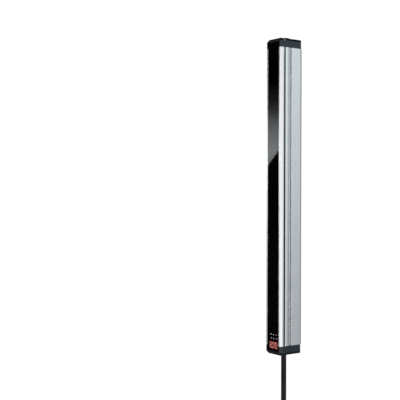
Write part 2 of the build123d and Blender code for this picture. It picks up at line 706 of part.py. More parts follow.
def cable_bushing():
    """The rubber sleeve that seals the cable in the lower cap's hole, with a flange inside."""
    bore = CABLE_RADIUS + CABLE_FIT
    floor = CAP_HEIGHT - CAP_FLOOR
    outer = CABLE_RADIUS + BUSHING_WALL - CABLE_FIT
    sleeve = round_ring(bore, outer, floor - BUSHING_FLANGE / 2, CAP_HEIGHT + BUSHING_LIP)
    flange = round_ring(bore, CLAMP_SCREW_X - CLAMP_POST - GROOVE_FIT, floor - BUSHING_FLANGE, floor)
    return sleeve + flange


def gland_clamp():
    """The plate that presses the bushing's flange against the cap's floor."""
    plate = fillet(Rectangle(CLAMP_LENGTH, 2 * CLAMP_HALF).vertices(), CLAMP_POST)
    plate -= Circle(CABLE_RADIUS + 4 * CABLE_FIT)
    hole = Circle(SMALL_SCREW_RADIUS + GROOVE_FIT)
    plate -= [Pos(side * CLAMP_SCREW_X, 0) * hole for side in (-1, 1)]
    return Pos(0, CABLE_Y, below(CLAMP_BASE + CLAMP_THICKNESS)) * extrude(plate, CLAMP_THICKNESS)


def clamp_screws():
    """The two screws of the gland's clamp, heads towards the inside of the housing."""
    head = Cylinder(*SMALL_HEAD, align=ON_BASE)
    head = chamfer(head.faces().sort_by(Axis.Z)[-1].edges(), HEAD_EDGE)
    screw = head + Cylinder(SMALL_SCREW_RADIUS, CLAMP_SCREW_BITE, align=HANGING)
    return Compound(children=[Pos(s * CLAMP_SCREW_X, CABLE_Y, below(CLAMP_BASE)) * screw for s in (-1, 1)])


def inner_tie():
    """The tie round the jacket, just above the clamp's screw heads; the cable can't be drawn out."""
    (band_wall, height), (lock_wide, lock_deep) = TIE_BAND, TIE_LOCK
    bore = CABLE_RADIUS + CABLE_FIT
    lock = Pos(0, bore + lock_deep / 2, 0) * Box(lock_wide, lock_deep, height)
    tie = Cylinder(bore + band_wall, height) + lock - Cylinder(bore, 2 * height)
    low = below(CLAMP_BASE) + SMALL_HEAD[1] + CABLE_FIT
    return Pos(0, CABLE_Y, low + height / 2) * tie


def end_buffer():
    """The rubber block between the upper ends of the modules and the upper cap's floor."""
    low, high = sensor_board_span()[1] + CARRIER_FIT, CAP_BASE + CAP_HEIGHT - CAP_FLOOR - CARRIER_FIT
    return box_between((-CARRIER_HALF, CARRIER_HALF), (BUFFER_FRONT, CARRIER_BACK), (low, high))


def earth_spring():
    """The bent metal strip that connects the main board to the housing's side wall."""
    wide, thick = SPRING_STRIP
    z, near = HIGH_BEAM_Z - 1.5 * BEAM_PITCH, MAIN_BOARD_PLACE - thick / 2
    wall = CAVITY_HALF - thick
    line = [
        (wall - wide, y_at(near)),
        (wall - wide / 3, y_at(near)),
        (wall, y_at(near - wide / 2.5)),
        (wall - wide / 2.5, y_at(near - 0.8 * wide)),
    ]
    strip = trace(FilletPolyline(*line, radius=2 * thick), thick)
    return Pos(0, 0, z - wide / 2) * extrude(strip, wide)


def cable_lead():
    """The cable from the end of its jacket inside the housing straight down to the hank."""
    top, low = -PROFILE_END + CABLE_INSIDE, -UNIT_END - HANK_START
    bar = Cylinder(CABLE_RADIUS, top - low, align=ON_BASE)
    return Pos(0, CABLE_Y, low) * bar


def hank_outline():
    """The hank from the front: two round fold ends and a waist where the tie holds it."""
    reach = FOLD_RADIUS + CABLE_RADIUS
    low, high = -HANK_LENGTH + reach, -reach
    side, down = reach * cos(radians(35)), reach * sin(radians(35))
    middle = -HANK_LENGTH / 2
    right = ThreePointArc((side, high - down), (HANK_WAIST, middle), (side, low + down))
    left = ThreePointArc((-side, low + down), (-HANK_WAIST, middle), (-side, high - down))
    bottom = Line((side, low + down), (-side, low + down))
    top = Line((-side, high - down), (side, high - down))
    neck = make_face([right, bottom, left, top])
    upper = Pos(0, high) * Circle(reach) + neck
    return upper, Pos(0, low) * Circle(reach)


def hank_top():
    return -UNIT_END - HANK_START


def cable_hank():
    """The folded cable as one closed form: two layers down to the waist, one at the lower fold."""
    upper, lower = hank_outline()
    back = CABLE_RADIUS + CABLE_FIT
    thick = extrude(Rot(90, 0, 0) * upper, HANK_LAYERS)
    thin = extrude(Rot(90, 0, 0) * lower, 2 * back)
    body = Pos(0, CABLE_Y + back, hank_top()) * (thick + thin)
    return body


def hank_tie():
    """The tie round the waist of the hank."""
    height, strap = TIE_SIZE
    wide, deep = 2 * HANK_WAIST + 0.6, HANK_LAYERS + 0.4
    hole = Rectangle(wide, deep)
    band = fillet(Rectangle(wide + 2 * strap, deep + 2 * strap).vertices(), 1.3 * strap)
    y = CABLE_Y + CABLE_RADIUS + CABLE_FIT - HANK_LAYERS / 2
    low = hank_top() - HANK_LENGTH / 2 - height / 2
    return Pos(0, y, low) * extrude(band - hole, height)


def plug_top():
    """Where the plug's tail meets the hank, and the plug's own line."""
    reach = FOLD_RADIUS + CABLE_RADIUS
    z = hank_top() - HANK_LENGTH + reach + reach * sin(radians(35))
    y = CABLE_Y - CABLE_RADIUS - CABLE_FIT - PLUG_GRIP_RADIUS - CABLE_FIT
    return y, z


def plug_turned(points):
    """A round piece of the plug from (radius, distance below the tail's end) points."""
    y, z = plug_top()
    face = make_face(Polyline(*[(r, 0, -down) for r, down in points], close=True))
    return Pos(0, y, z) * revolve(face, Axis.Z)


def plug_body():
    """The moulded body of the plug: a ribbed tail and a fluted grip."""
    (radius, tail), grip_end = PLUG_TAIL, PLUG_TAIL[1] + PLUG_GRIP_LENGTH
    stem, root = PLUG_THREAD_RADIUS - PLUG_STEM[0], grip_end - PLUG_STEM[1]
    points = [(0, 0), (radius, 0), (radius + PLUG_STEM[0], tail), (PLUG_GRIP_RADIUS, tail + PLUG_NECK)]
    points += [(PLUG_GRIP_RADIUS, grip_end), (stem, grip_end), (stem, root), (0, root)]
    body = plug_turned(points)
    y, z = plug_top()
    count, pitch, width, depth = TAIL_GROOVES
    groove = Cylinder(2 * radius, width) - Cylinder(radius - depth, 2 * width)
    body -= [Pos(0, y, z - pitch * (i + 1)) * groove for i in range(count)]
    straight = PLUG_GRIP_LENGTH - PLUG_NECK
    flute = Pos(PLUG_GRIP_RADIUS + FLUTE[1], 0) * Cylinder(FLUTE[0], straight - 2 * PLUG_NECK)
    middle = Pos(0, y, z - tail - PLUG_NECK - straight / 2)
    return body - [middle * Rot(0, 0, 360 / FLUTES * (i + 0.5)) * flute for i in range(FLUTES)]


def plug_shell():
    """The plated sleeve with the plug's outside thread."""
    start = PLUG_TAIL[1] + PLUG_GRIP_LENGTH
    stem, root = PLUG_THREAD_RADIUS - PLUG_STEM[0] - PLUG_FIT, start - PLUG_STEM[1] + PLUG_FIT
    collar, collar_end = PLUG_GRIP_RADIUS - 2 * PLUG_FIT, start + PLUG_COLLAR
    end, edge = collar_end + PLUG_THREAD_LENGTH, SEAL_RING[0]
    points = [(PLUG_BORE, root), (stem, root), (stem, start + PLUG_FIT), (collar, start + PLUG_FIT)]
    points += [(collar, collar_end), (PLUG_THREAD_RADIUS, collar_end), (PLUG_THREAD_RADIUS, end - edge)]
    points += [(PLUG_THREAD_RADIUS - edge, end), (PLUG_BORE, end)]
    return plug_turned(points)


def plug_insert():
    """The insulating disc that carries the pins, with a key along its edge."""
    end, radius = PLUG_TAIL[1] + PLUG_GRIP_LENGTH + PLUG_FACE, PLUG_BORE - PLUG_FIT / 2
    start = end - PLUG_FACE - PLUG_STEM[1] + PLUG_FIT
    disc = plug_turned([(0, start), (radius, start), (radius, end), (0, end)])
    y, z = plug_top()
    key = Pos(0, y - PLUG_BORE, z - end) * Box(3 * PIN_RADIUS, 3 * PIN_RADIUS, PLUG_FACE)
    bore = Cylinder(PIN_RADIUS + PLUG_FIT / 4, 2 * PIN_ROOT)
    return disc - key - [Pos(x, py, z - end) * bore for x, py in pin_places()]


def pin_places():
    """The plug's pins across its face: four on a circle and one in the middle."""
    y = plug_top()[0]
    ring = [radians(45 + 90 * i) for i in range(4)]
    return [(0, y)] + [(PIN_CIRCLE * cos(a), y + PIN_CIRCLE * sin(a)) for a in ring]


def plug_pins():
    z = plug_top()[1] - PLUG_TAIL[1] - PLUG_GRIP_LENGTH - PLUG_FACE
    pin = Cylinder(PIN_RADIUS, PIN_LENGTH + PIN_ROOT, align=HANGING)
    pin = chamfer(pin.faces().sort_by(Axis.Z)[0].edges(), PIN_RADIUS / 2)
    return Compound(children=[Pos(x, y, z + PIN_ROOT) * pin for x, y in pin_places()])


def plug_seal():
    """The rubber ring at the root of the plug's thread, eight-sided in section."""
    out, section = PLUG_THREAD_RADIUS + SEAL_RING[0], SEAL_RING[1]
    down = PLUG_TAIL[1] + PLUG_GRIP_LENGTH + PLUG_COLLAR + section
    turns = [radians(45 * i + 22.5) for i in range(8)]
    return plug_turned([(out + section * cos(a), down + section * sin(a)) for a in turns])


def main():
    os.makedirs("parts", exist_ok=True)
    save(housing_profile(), "housing_profile")
    save(front_window(), "front_window")
    right, left = both_sides(window_seal())
    save(right, "window_seal_right")
    save(left, "window_seal_left")
    save(top_cap(), "top_cap")
    save(bottom_cap(), "bottom_cap")
    save(Pos(0, 0, PROFILE_END) * gasket(), "top_gasket")
    save(Pos(0, 0, -CAP_BASE) * gasket(), "bottom_gasket")
    save(cap_screws(1), "top_cap_screws")
    save(cap_screws(-1), "bottom_cap_screws")
    for module in MODULES:
        save(optics_carrier(module), f"optics_carrier_{module}")
        save(lens_strip(module), f"lens_strip_{module}")
        save(photodiodes(module), f"photodiodes_{module}")
    for place, name in ((-1, "left"), (0, "middle"), (1, "right")):
        save(digit(place), f"digit_{name}")
    for make in (
        receiver_board,
        board_screws,
        amplifier_chips,
        board_link,
        processor_board,
        controller_chips,
        capacitors,
        core_connector,
        cable_cores,
        display_housing,
        display_board,
        status_lamps,
        cable_bushing,
        gland_clamp,
        clamp_screws,
        inner_tie,
        end_buffer,
        earth_spring,
        cable_lead,
        cable_hank,
        hank_tie,
        plug_body,
        plug_shell,
        plug_insert,
        plug_pins,
        plug_seal,
    ):
        save(make(), make.__name__)
    seen = UNIT_END + HANK_START - PROFILE_END + CABLE_INSIDE
    print(f"cable lead: one straight run of {seen:.1f} mm, no turns; fold radius {FOLD_RADIUS} mm")


main()
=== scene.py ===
"""Looks, cable, studio and camera of a slim upright safety light curtain unit."""

from functools import cache
from math import cos, pi, radians, sin

import bmesh
import bpy
from bpy.props import FloatProperty, FloatVectorProperty, IntProperty, PointerProperty
from mathutils import Matrix, Vector


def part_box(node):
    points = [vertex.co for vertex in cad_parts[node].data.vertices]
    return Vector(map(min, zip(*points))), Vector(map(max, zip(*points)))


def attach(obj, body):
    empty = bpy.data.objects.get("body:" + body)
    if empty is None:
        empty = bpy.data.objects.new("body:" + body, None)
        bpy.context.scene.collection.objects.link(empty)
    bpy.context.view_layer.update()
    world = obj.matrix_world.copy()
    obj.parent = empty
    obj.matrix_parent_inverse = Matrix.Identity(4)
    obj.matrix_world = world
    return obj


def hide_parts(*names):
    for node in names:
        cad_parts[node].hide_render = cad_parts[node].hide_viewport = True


bl_info = {
    "name": "Light curtain dresser",
    "version": (1, 0, 0),
    "blender": (4, 5, 0),
    "location": "View3D > Sidebar > Light curtain",
    "description": "Finishes, cable, fasteners and studio for a packed light curtain unit",
    "category": "Object",
}

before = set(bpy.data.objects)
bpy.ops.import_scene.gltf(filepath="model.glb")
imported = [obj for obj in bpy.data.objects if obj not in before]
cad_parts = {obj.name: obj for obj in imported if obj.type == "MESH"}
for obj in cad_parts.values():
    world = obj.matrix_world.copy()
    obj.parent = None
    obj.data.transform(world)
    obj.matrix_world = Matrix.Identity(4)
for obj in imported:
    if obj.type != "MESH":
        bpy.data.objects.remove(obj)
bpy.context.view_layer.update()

# Brightness of the surroundings by direction, from +X over +Y in degrees: below and above the horizon.
# To the camera the window mirrors the way of -139, the chamfer -8, the recess 25 to 86, the flat side 42.
AROUND = [
    (-180, 0.55, 0.55), (-160, 0.5, 0.5), (-149, 0.02, 0.02), (-128, 0.02, 0.02), (-118, 0.2, 0.2),
    (-85, 0.26, 0.24), (-40, 0.72, 0.5), (-8, 1.3, 0.95), (8, 1.42, 1.32), (18, 1.35, 1.68),
    (28, 1.02, 1.66), (38, 0.28, 0.95), (50, 0.18, 0.64), (66, 0.14, 0.42), (86, 0.12, 0.17),
    (108, 0.3, 0.3), (122, 0.08, 0.08), (150, 0.08, 0.08), (165, 0.5, 0.5),
]
BODY = "root"
MM = 0.001
MIDDLE = Vector((0.0, -0.0175, 0.0))
PLUG_LINE = (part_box("plug_body")[0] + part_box("plug_body")[1]) / 2

# Control points of the cable, in millimetres: down out of the cap, through the tie into the
# lower fold, back up, round the upper fold in front of the first run, and down into the plug
CABLE_ROUTE = [
    (0, -17.5, -189), (0, -17.5, -225), (0, -17.5, -262), (0, -17.5, -292),
    (-3.3, -17.5, -312), (-3.3, -17.5, -330),
    (-19.4, -17.5, -349.4), (-19.4, -17.5, -365.4), (-8, -17.5, -376.8),
    (8, -17.5, -376.8), (19.4, -17.5, -365.4), (19.4, -17.5, -349.4),
    (3.3, -17.5, -330), (3.3, -17.5, -312),
    (19.4, -19, -292.6), (19.4, -22.5, -276.6), (8, -24.2, -265.2),
    (-8, -24.2, -265.2), (-19.4, -24.2, -276.6), (-19.4, -24.2, -292.6),
    (-5.4, -24.2, -309), (-0.4, -24.4, -326), (0, -28.1, -338), (0, -28.1, -344.44),
]

# The profile's recess corner, the cap screws and their places
RECESS_CORNER_Y = -0.018
HEAD_RADIUS, HEAD_HEIGHT, SHANK_RADIUS = 0.0022, 0.0019, 0.00125
REAR_SCREW_X = 0.0076
SCREWS_Y = (-0.02835, -0.0054)
SOCKET_RADIUS, SOCKET_DEPTH, SOCKET_LEAD = 0.00092, 0.0011, 0.00018


# Sizes and colours


def length_setting(name, description, default):
    return FloatProperty(name=name, description=description, default=default, unit="LENGTH")


def angle_setting(name, description, degrees):
    return FloatProperty(name=name, description=description, default=radians(degrees), subtype="ANGLE")


def colour_setting(name, description, default):
    return FloatVectorProperty(name=name, description=description, default=default, subtype="COLOR")


class CurtainSizes(bpy.types.PropertyGroup):
    """Sizes that the looks need beyond the model's own."""

    cable_diameter: length_setting("Cable diameter", "Outside of the jacket", 0.0064)
    cable_length: length_setting("Cable length", "From the lower cap to the plug", 0.447)
    profile_edge: length_setting("Profile edge", "Rounding of the extrusion's corners", 0.00012)
    cap_edge: length_setting("Cap edge", "Rounding of the moulded caps' corners", 0.0005)
    pane_edge: length_setting("Window edge", "Polished edge of the window", 0.00015)
    thread_pitch: length_setting("Plug thread pitch", "Pitch of the plug's coupling thread", 0.001)
    screw_pitch: length_setting("Screw thread pitch", "Pitch of the thread-forming cap screws", 0.0009)
    strap_thickness: length_setting("Strap thickness", "Woven strap round the put-away cable", 0.0011)
    seed: IntProperty(name="Turn seed", description="Seed of the screws' turned heads", default=7)


class CurtainColours(bpy.types.PropertyGroup):
    """Base colours of the finishes."""

    aluminium: colour_setting("Anodised aluminium", "Natural anodised extrusion", (0.80, 0.815, 0.83))
    cap: colour_setting("Caps", "Moulded end caps", (0.0045, 0.0065, 0.009))
    pane: colour_setting("Window", "What the dark window lets through", (0.018, 0.016, 0.016))
    jacket: colour_setting("Cable jacket", "Black cable jacket", (0.02, 0.018, 0.018))
    digits: colour_setting("Digits", "Light of the digits", (1.0, 0.34, 0.31))
    strap: colour_setting("Strap", "Woven strap", (0.02, 0.02, 0.022))


class CurtainStudio(bpy.types.PropertyGroup):
    """Camera and light."""

    lens: FloatProperty(name="Lens", description="Focal length", default=76.5, unit="CAMERA")
    distance: length_setting("Distance", "From the camera to the unit's middle line", 1.032)
    height: length_setting("Height", "Of the camera above the unit's middle", 0.0048)
    around: angle_setting("Around", "Camera's way round from the window's side", 48.58)
    turn: angle_setting("Turn", "How far the camera looks past the unit", 5.65)
    tilt: angle_setting("Tilt", "Of the camera, up", -0.49)
    roll: angle_setting("Roll", "Of the camera, clockwise", 0.096)
    floor: length_setting("Floor", "Height of the floor", -0.4)
    key: FloatProperty(name="Key light", description="Power in watts", default=9.0)
    display: FloatProperty(
        name="Display", description="How strongly the digits and lamps are lit", default=45.0)


# Node helpers


def feed(tree, socket, value):
    """Gives an input another node's output, or a value of its own."""
    if isinstance(value, bpy.types.NodeSocket):
        tree.links.new(value, socket)
    elif socket.type == "RGBA":
        socket.default_value = (*value[:3], 1.0)
    else:
        socket.default_value = value


def into(tree, node, **values):
    """Feeds a node's inputs by name, with an underscore for each space."""
    for name, value in values.items():
        feed(tree, node.inputs[name.replace("_", " ")], value)


def add(tree, kind, *firsts, **settings):
    """A node with its first inputs fed in order; capital names are inputs too, others are settings."""
    node = tree.nodes.new(kind)
    for name, value in settings.items():
        if name[0].islower():
            setattr(node, name, value)
    for socket, value in zip(node.inputs, firsts):
        feed(tree, socket, value)
    into(tree, node, **{name: value for name, value in settings.items() if name[0].isupper()})
    return node


def reckon(tree, operation, *values):
    """A Math node; each value is a number or a socket."""
    return add(tree, "ShaderNodeMath", *values, operation=operation).outputs[0]


def blended(tree, share, first, second, kind="RGBA"):
    """A Mix node between two colours or numbers."""
    node = add(tree, "ShaderNodeMix", data_type=kind)
    start, result = (2, 0) if kind == "FLOAT" else (6, 2)
    for place, value in ((0, share), (start, first), (start + 1, second)):
        feed(tree, node.inputs[place], value)
    return node.outputs[result]


def spread(tree, value, low, high, out_low=0.0, out_high=1.0):
    """A Map Range node."""
    return add(tree, "ShaderNodeMapRange", value, low, high, out_low, out_high).outputs[0]


def noise(tree, vector, scale, **settings):
    return add(tree, "ShaderNodeTexNoise", Vector=vector, Scale=scale, **settings).outputs[0]


def split(tree, vector):
    """A vector's three numbers."""
    return add(tree, "ShaderNodeSeparateXYZ", vector).outputs[:3]


def ramp_of(tree, value, stops, **settings):
    """A colour ramp with (place, colour) stops from the lowest."""
    node = add(tree, "ShaderNodeValToRGB", value)
    ramp = node.color_ramp
    for name, setting in settings.items():
        setattr(ramp, name, setting)
    while len(ramp.elements) > 1:
        ramp.elements.remove(ramp.elements[-1])
    ramp.elements[0].position = stops[0][0]
    for place, _ in stops[1:]:
        ramp.elements.new(place)
    for element, (_, colour) in zip(ramp.elements, stops):
        element.color = (*colour, 1.0)
    return node.outputs[0]


def empty_tree(owner):
    """Turns on the nodes of a material or world and gives its tree, emptied."""
    owner.use_nodes = True
    owner.node_tree.nodes.clear()
    return owner.node_tree


def new_group(name, values, results):
    """A shader node group: a vector and named numbers go in, named numbers come out."""
    group = bpy.data.node_groups.new(name, "ShaderNodeTree")
    group.interface.new_socket("Vector", in_out="INPUT", socket_type="NodeSocketVector")
    for label, default in values.items():
        socket = group.interface.new_socket(label, in_out="INPUT", socket_type="NodeSocketFloat")
        socket.default_value = default
    for label in results:
        group.interface.new_socket(label, in_out="OUTPUT", socket_type="NodeSocketFloat")
    return group, add(group, "NodeGroupInput").outputs, add(group, "NodeGroupOutput")


@cache
def drawn_lines():
    """Fine lines along the extrusion, left by the die: a mask, a height and a cloud."""
    group, given, end = new_group(
        "Drawn lines", {"Lines": 2500.0, "Run": 3.0, "Cloud": 22.0}, ("Mask", "Height", "Cloud"))
    ways = zip(split(group, given["Vector"]), (given["Lines"], given["Lines"], given["Run"]))
    drawn = add(group, "ShaderNodeCombineXYZ", *[reckon(group, "MULTIPLY", *way) for way in ways])
    fine = noise(group, drawn.outputs[0], 1.0, Detail=3.0)
    cloud = noise(group, given["Vector"], given["Cloud"], Detail=2.0)
    into(group, end, Mask=spread(group, fine, 0.3, 0.7), Height=fine,
         Cloud=spread(group, cloud, 0.3, 0.7))
    return group


@cache
def moulded_grain():
    """Spark-eroded grain of a moulded part: coarse cloud, fine pits and a height."""
    group, given, end = new_group(
        "Moulded grain", {"Grain": 3200.0, "Cloud": 60.0}, ("Pits", "Cloud", "Height"))
    vector, grain = given["Vector"], given["Grain"]
    fine = noise(group, vector, grain, Detail=4.0, Roughness=0.65)
    cells = add(group, "ShaderNodeTexVoronoi", Vector=vector, Scale=grain).outputs["Distance"]
    cloud = noise(group, vector, given["Cloud"], Detail=3.0)
    into(group, end, Pits=spread(group, reckon(group, "MULTIPLY", fine, cells), 0.1, 0.45),
         Cloud=spread(group, cloud, 0.32, 0.68), Height=reckon(group, "ADD", fine, cells))
    return group


@cache
def rubbed_edges():
    """Where an edge has been rubbed: the rounded normal differs from the face's own."""
    group, given, end = new_group("Rubbed edges", {"Reach": 0.0005, "Breakup": 500.0}, ("Mask",))
    rounded = add(group, "ShaderNodeBevel", samples=4, Radius=given["Reach"]).outputs[0]
    face = add(group, "ShaderNodeNewGeometry").outputs["Normal"]
    dot = add(group, "ShaderNodeVectorMath", rounded, face, operation="DOT_PRODUCT")
    bent = spread(group, dot.outputs["Value"], 0.995, 0.86)
    patchy = spread(group, noise(group, given["Vector"], given["Breakup"], Detail=3.0), 0.35, 0.62)
    into(group, end, Mask=reckon(group, "MULTIPLY", bent, patchy))
    return group


@cache
def painted_shade_line():
    """Where a point lies in a lengthways line below the side faces, such as a side slot: the mask for
    painted shade there.
    """
    group, given, end = new_group(
        "Painted shade line",
        {"Middle": SCREWS_Y[0], "Half": 0.0016, "Face": 0.0134, "Fade": 0.0003, "Deepest": 0.004},
        ("Mask",))
    x, y, _ = split(group, given["Vector"])
    off = reckon(group, "ABSOLUTE", reckon(group, "SUBTRACT", y, given["Middle"]))
    near = reckon(group, "LESS_THAN", off, given["Half"])
    depth = reckon(group, "SUBTRACT", given["Face"], reckon(group, "ABSOLUTE", x))
    faded = reckon(group, "DIVIDE", depth, given["Fade"])
    sunk = reckon(group, "MINIMUM", reckon(group, "MAXIMUM", faded, 0.0), 1.0)
    shallow = reckon(group, "LESS_THAN", depth, given["Deepest"])
    into(group, end, Mask=reckon(group, "MULTIPLY", reckon(group, "MULTIPLY", near, sunk), shallow))
    return group


@cache
def plain_weave():
    """A plain weave on the piece's own map, in threads per unit."""
    group, given, end = new_group("Plain weave", {"Threads": 1800.0}, ("Height", "Gap"))
    across, along, _ = split(group, given["Vector"])
    turns = [reckon(group, "MULTIPLY", way, given["Threads"]) for way in (across, along)]
    waves = [reckon(group, "SINE", reckon(group, "MULTIPLY", turn, pi)) for turn in turns]
    warp, weft = [reckon(group, "ABSOLUTE", wave) for wave in waves]
    over = spread(group, reckon(group, "MULTIPLY", *waves), -0.6, 0.6)
    height = blended(group, over, warp, weft, "FLOAT")
    into(group, end, Height=height, Gap=spread(group, height, 0.5, 0.1))
    return group


@cache
def board_tracks():
    """Copper tracks and pads under the varnish of a circuit board."""
    group, given, end = new_group("Board tracks", {"Tracks": 900.0}, ("Track", "Pad", "Height"))
    x, _, z = split(group, given["Vector"])
    flat = add(group, "ShaderNodeCombineXYZ", x, z).outputs[0]
    cells = add(group, "ShaderNodeTexVoronoi", distance="CHEBYCHEV", Vector=flat,
                Scale=reckon(group, "MULTIPLY", given["Tracks"], 0.35)).outputs["Distance"]
    bricks = add(group, "ShaderNodeTexBrick", Vector=flat, Mortar_Size=0.06, Brick_Width=2.4,
                 Row_Height=0.6, Scale=reckon(group, "MULTIPLY", given["Tracks"], 0.5)).outputs["Fac"]
    into(group, end, Track=bricks, Pad=spread(group, cells, 0.16, 0.12), Height=bricks)
    return group


def place_group(tree, maker, vector, **values):
    """Places a shared effect in a material with its own values, and gives its results."""
    return add(tree, "ShaderNodeGroup", node_tree=maker(), Vector=vector, **values).outputs


# Finishes


def times(colour, factor):
    return [min(1.0, part * factor) for part in colour]


def blank(name, **sockets):
    """A material with its shader and object coordinates; keyword names are the shader's sockets."""
    material = bpy.data.materials.new(name)
    tree = empty_tree(material)
    shader = add(tree, "ShaderNodeBsdfPrincipled", **sockets)
    add(tree, "ShaderNodeOutputMaterial", shader.outputs[0])
    return material, tree, shader, add(tree, "ShaderNodeTexCoord").outputs["Object"]


def coat(tree, shader, tint, rough, height, strength, depth=0.00002):
    """Feeds a shader its colour, its roughness and, through a bump, its relief."""
    bump = add(tree, "ShaderNodeBump", Strength=strength, Distance=depth, Height=height)
    into(tree, shader, Base_Color=tint, Roughness=rough, Normal=bump.outputs[0])


def grained(tree, where, grain, cloud, low, high):
    """Moulded grain with its own values: its cloud, its height and the roughness of its pits."""
    surface = place_group(tree, moulded_grain, where, Grain=grain, Cloud=cloud)
    return surface["Cloud"], surface["Height"], spread(tree, surface["Pits"], 0, 1, low, high)


def anodised(colour):
    """Anodised extrusion: faint die lines, brighter edges, and painted shade that darkens the slots and
    recess corners.
    """
    material, tree, shader, where = blank("anodised_aluminium", Metallic=0.82, IOR=1.6)
    lines = place_group(tree, drawn_lines, where, Lines=2600.0, Run=2.5, Cloud=18.0)
    edges = place_group(tree, rubbed_edges, where, Reach=0.00035, Breakup=350.0)
    side, slot_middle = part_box("housing_profile")[1].x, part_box("top_cap_screws")[0].y + HEAD_RADIUS
    corner = place_group(tree, painted_shade_line, where, Middle=RECESS_CORNER_Y, Half=0.0004,
                         Face=side - 0.0002, Fade=0.0004)
    slot = place_group(tree, painted_shade_line, where, Middle=slot_middle, Face=side - 0.0001)
    tint = blended(tree, lines["Mask"], times(colour, 0.97), times(colour, 1.02))
    tint = blended(tree, edges["Mask"], tint, times(colour, 1.05))
    # Painted shade: the recess corner is darkened in the base colour, where shade falls
    tint = blended(tree, corner["Mask"], tint, (0.16, 0.165, 0.175))
    # Painted shade: the side slot is made near black in the base colour, where shade falls
    tint = blended(tree, slot["Mask"], tint, (0.006, 0.006, 0.007))
    rough = spread(tree, lines["Mask"], 0, 1, 0.255, 0.29)
    cloudy = spread(tree, lines["Cloud"], 0, 1, -0.015, 0.02)
    coat(tree, shader, tint, reckon(tree, "ADD", rough, cloudy), lines["Height"], 0.07)
    return material


def moulded(name, colour, rough, wear=1.8, **sockets):
    """Moulded plastic with spark-eroded grain and slightly polished edges."""
    material, tree, shader, where = blank(name, IOR=1.5, **sockets)
    cloud, height, gloss = grained(tree, where, 3200.0, 70.0, *rough)
    edges = place_group(tree, rubbed_edges, where, Reach=0.0006, Breakup=420.0)["Mask"]
    tint = blended(tree, cloud, times(colour, 0.82), times(colour, 1.2))
    tint = blended(tree, edges, tint, times(colour, wear))
    rubbed = spread(tree, edges, 0, 1, 0.0, -0.1)
    coat(tree, shader, tint, reckon(tree, "ADD", gloss, rubbed), height, 0.35)
    return material


def rubber():
    material, tree, shader, where = blank("seal_rubber", IOR=1.5)
    cloud, height, rough = grained(tree, where, 2200.0, 110.0, 0.62, 0.78)
    black = (0.016, 0.016, 0.016)
    tint = blended(tree, cloud, times(black, 0.8), times(black, 1.4))
    coat(tree, shader, tint, rough, height, 0.5)
    return material


def smoked_pane(colour):
    """Polished dark acrylic that lets a little light through."""
    material, tree, shader, where = blank("smoked_pane", IOR=1.45, Transmission_Weight=1.0)
    cloud, _, rough = grained(tree, where, 900.0, 35.0, 0.012, 0.03)
    coat(tree, shader, blended(tree, cloud, times(colour, 0.92), colour), rough, cloud, 0.05)
    return material


def clear_lens():
    material, tree, shader, where = blank("lens_clear", IOR=1.49, Transmission_Weight=1.0)
    cloud, _, rough = grained(tree, where, 1500.0, 160.0, 0.02, 0.06)
    tint = blended(tree, cloud, (0.82, 0.86, 0.88), (0.9, 0.93, 0.95))
    into(tree, shader, Base_Color=tint, Roughness=rough)
    return material


def cap_plastic(colour):
    """The caps' plastic, with its cool gloss."""
    return moulded("black_cap", colour, (0.34, 0.44), Specular_Tint=(0.76, 0.91, 1.0),
                   Specular_IOR_Level=0.7)


def metal(name, colour, rough=(0.22, 0.4), lines=1800.0, worn=(0.9, 0.88, 0.84)):
    """Plated or plain metal with drawn lines, clouding and rubbed edges."""
    material, tree, shader, where = blank(name, Metallic=1.0)
    surface = place_group(tree, drawn_lines, where, Lines=lines, Run=500.0, Cloud=400.0)
    edges = place_group(tree, rubbed_edges, where, Reach=0.0003, Breakup=900.0)
    tint = blended(tree, surface["Cloud"], times(colour, 0.8), colour)
    tint = blended(tree, edges["Mask"], tint, worn)
    gloss = spread(tree, surface["Mask"], 0, 1, *rough)
    coat(tree, shader, tint, gloss, surface["Height"], 0.25, depth=0.00001)
    return material


def board_green():
    material, tree, shader, where = blank("board_green", IOR=1.5)
    tracks = place_group(tree, board_tracks, where, Tracks=900.0)
    cloud, _, rough = grained(tree, where, 1500.0, 90.0, 0.28, 0.42)
    base = blended(tree, cloud, (0.006, 0.06, 0.022), (0.01, 0.085, 0.035))
    base = blended(tree, tracks["Track"], (0.02, 0.15, 0.06), base)
    base = blended(tree, tracks["Pad"], base, (0.72, 0.7, 0.64))
    into(tree, shader, Metallic=tracks["Pad"])
    coat(tree, shader, base, rough, tracks["Height"], 0.4, depth=0.00004)
    return material


def woven(colour):
    """Woven strap on the piece's own map, in metres."""
    material, tree, shader, where = blank("tie_strap", IOR=1.45, Sheen_Weight=0.4, Sheen_Roughness=0.5)
    mapped = add(tree, "ShaderNodeUVMap", uv_map="Path").outputs[0]
    weave = place_group(tree, plain_weave, mapped, Threads=2200.0)
    cloud, _, rough = grained(tree, where, 4000.0, 300.0, 0.7, 0.9)
    tint = blended(tree, cloud, times(colour, 0.7), times(colour, 1.6))
    tint = blended(tree, weave["Gap"], tint, times(colour, 0.35))
    coat(tree, shader, tint, rough, weave["Height"], 0.8, depth=0.00015)
    return material


def jacket(colour):
    """Cable jacket: matt, with long faint draw marks and a fine powdery mottle."""
    material, tree, shader, where = blank("cable_jacket", IOR=1.5, Specular_IOR_Level=0.1)
    lines = place_group(tree, drawn_lines, where, Lines=1100.0, Run=12.0, Cloud=45.0)
    cloud, height, fine = grained(tree, where, 2600.0, 130.0, -0.03, 0.05)
    tint = blended(tree, lines["Cloud"], times(colour, 0.8), times(colour, 1.25))
    tint = blended(tree, reckon(tree, "MULTIPLY", cloud, 0.25), tint, times(colour, 1.7))
    rough = spread(tree, lines["Mask"], 0, 1, 0.54, 0.64)
    coat(tree, shader, tint, reckon(tree, "ADD", rough, fine), height, 0.3)
    return material


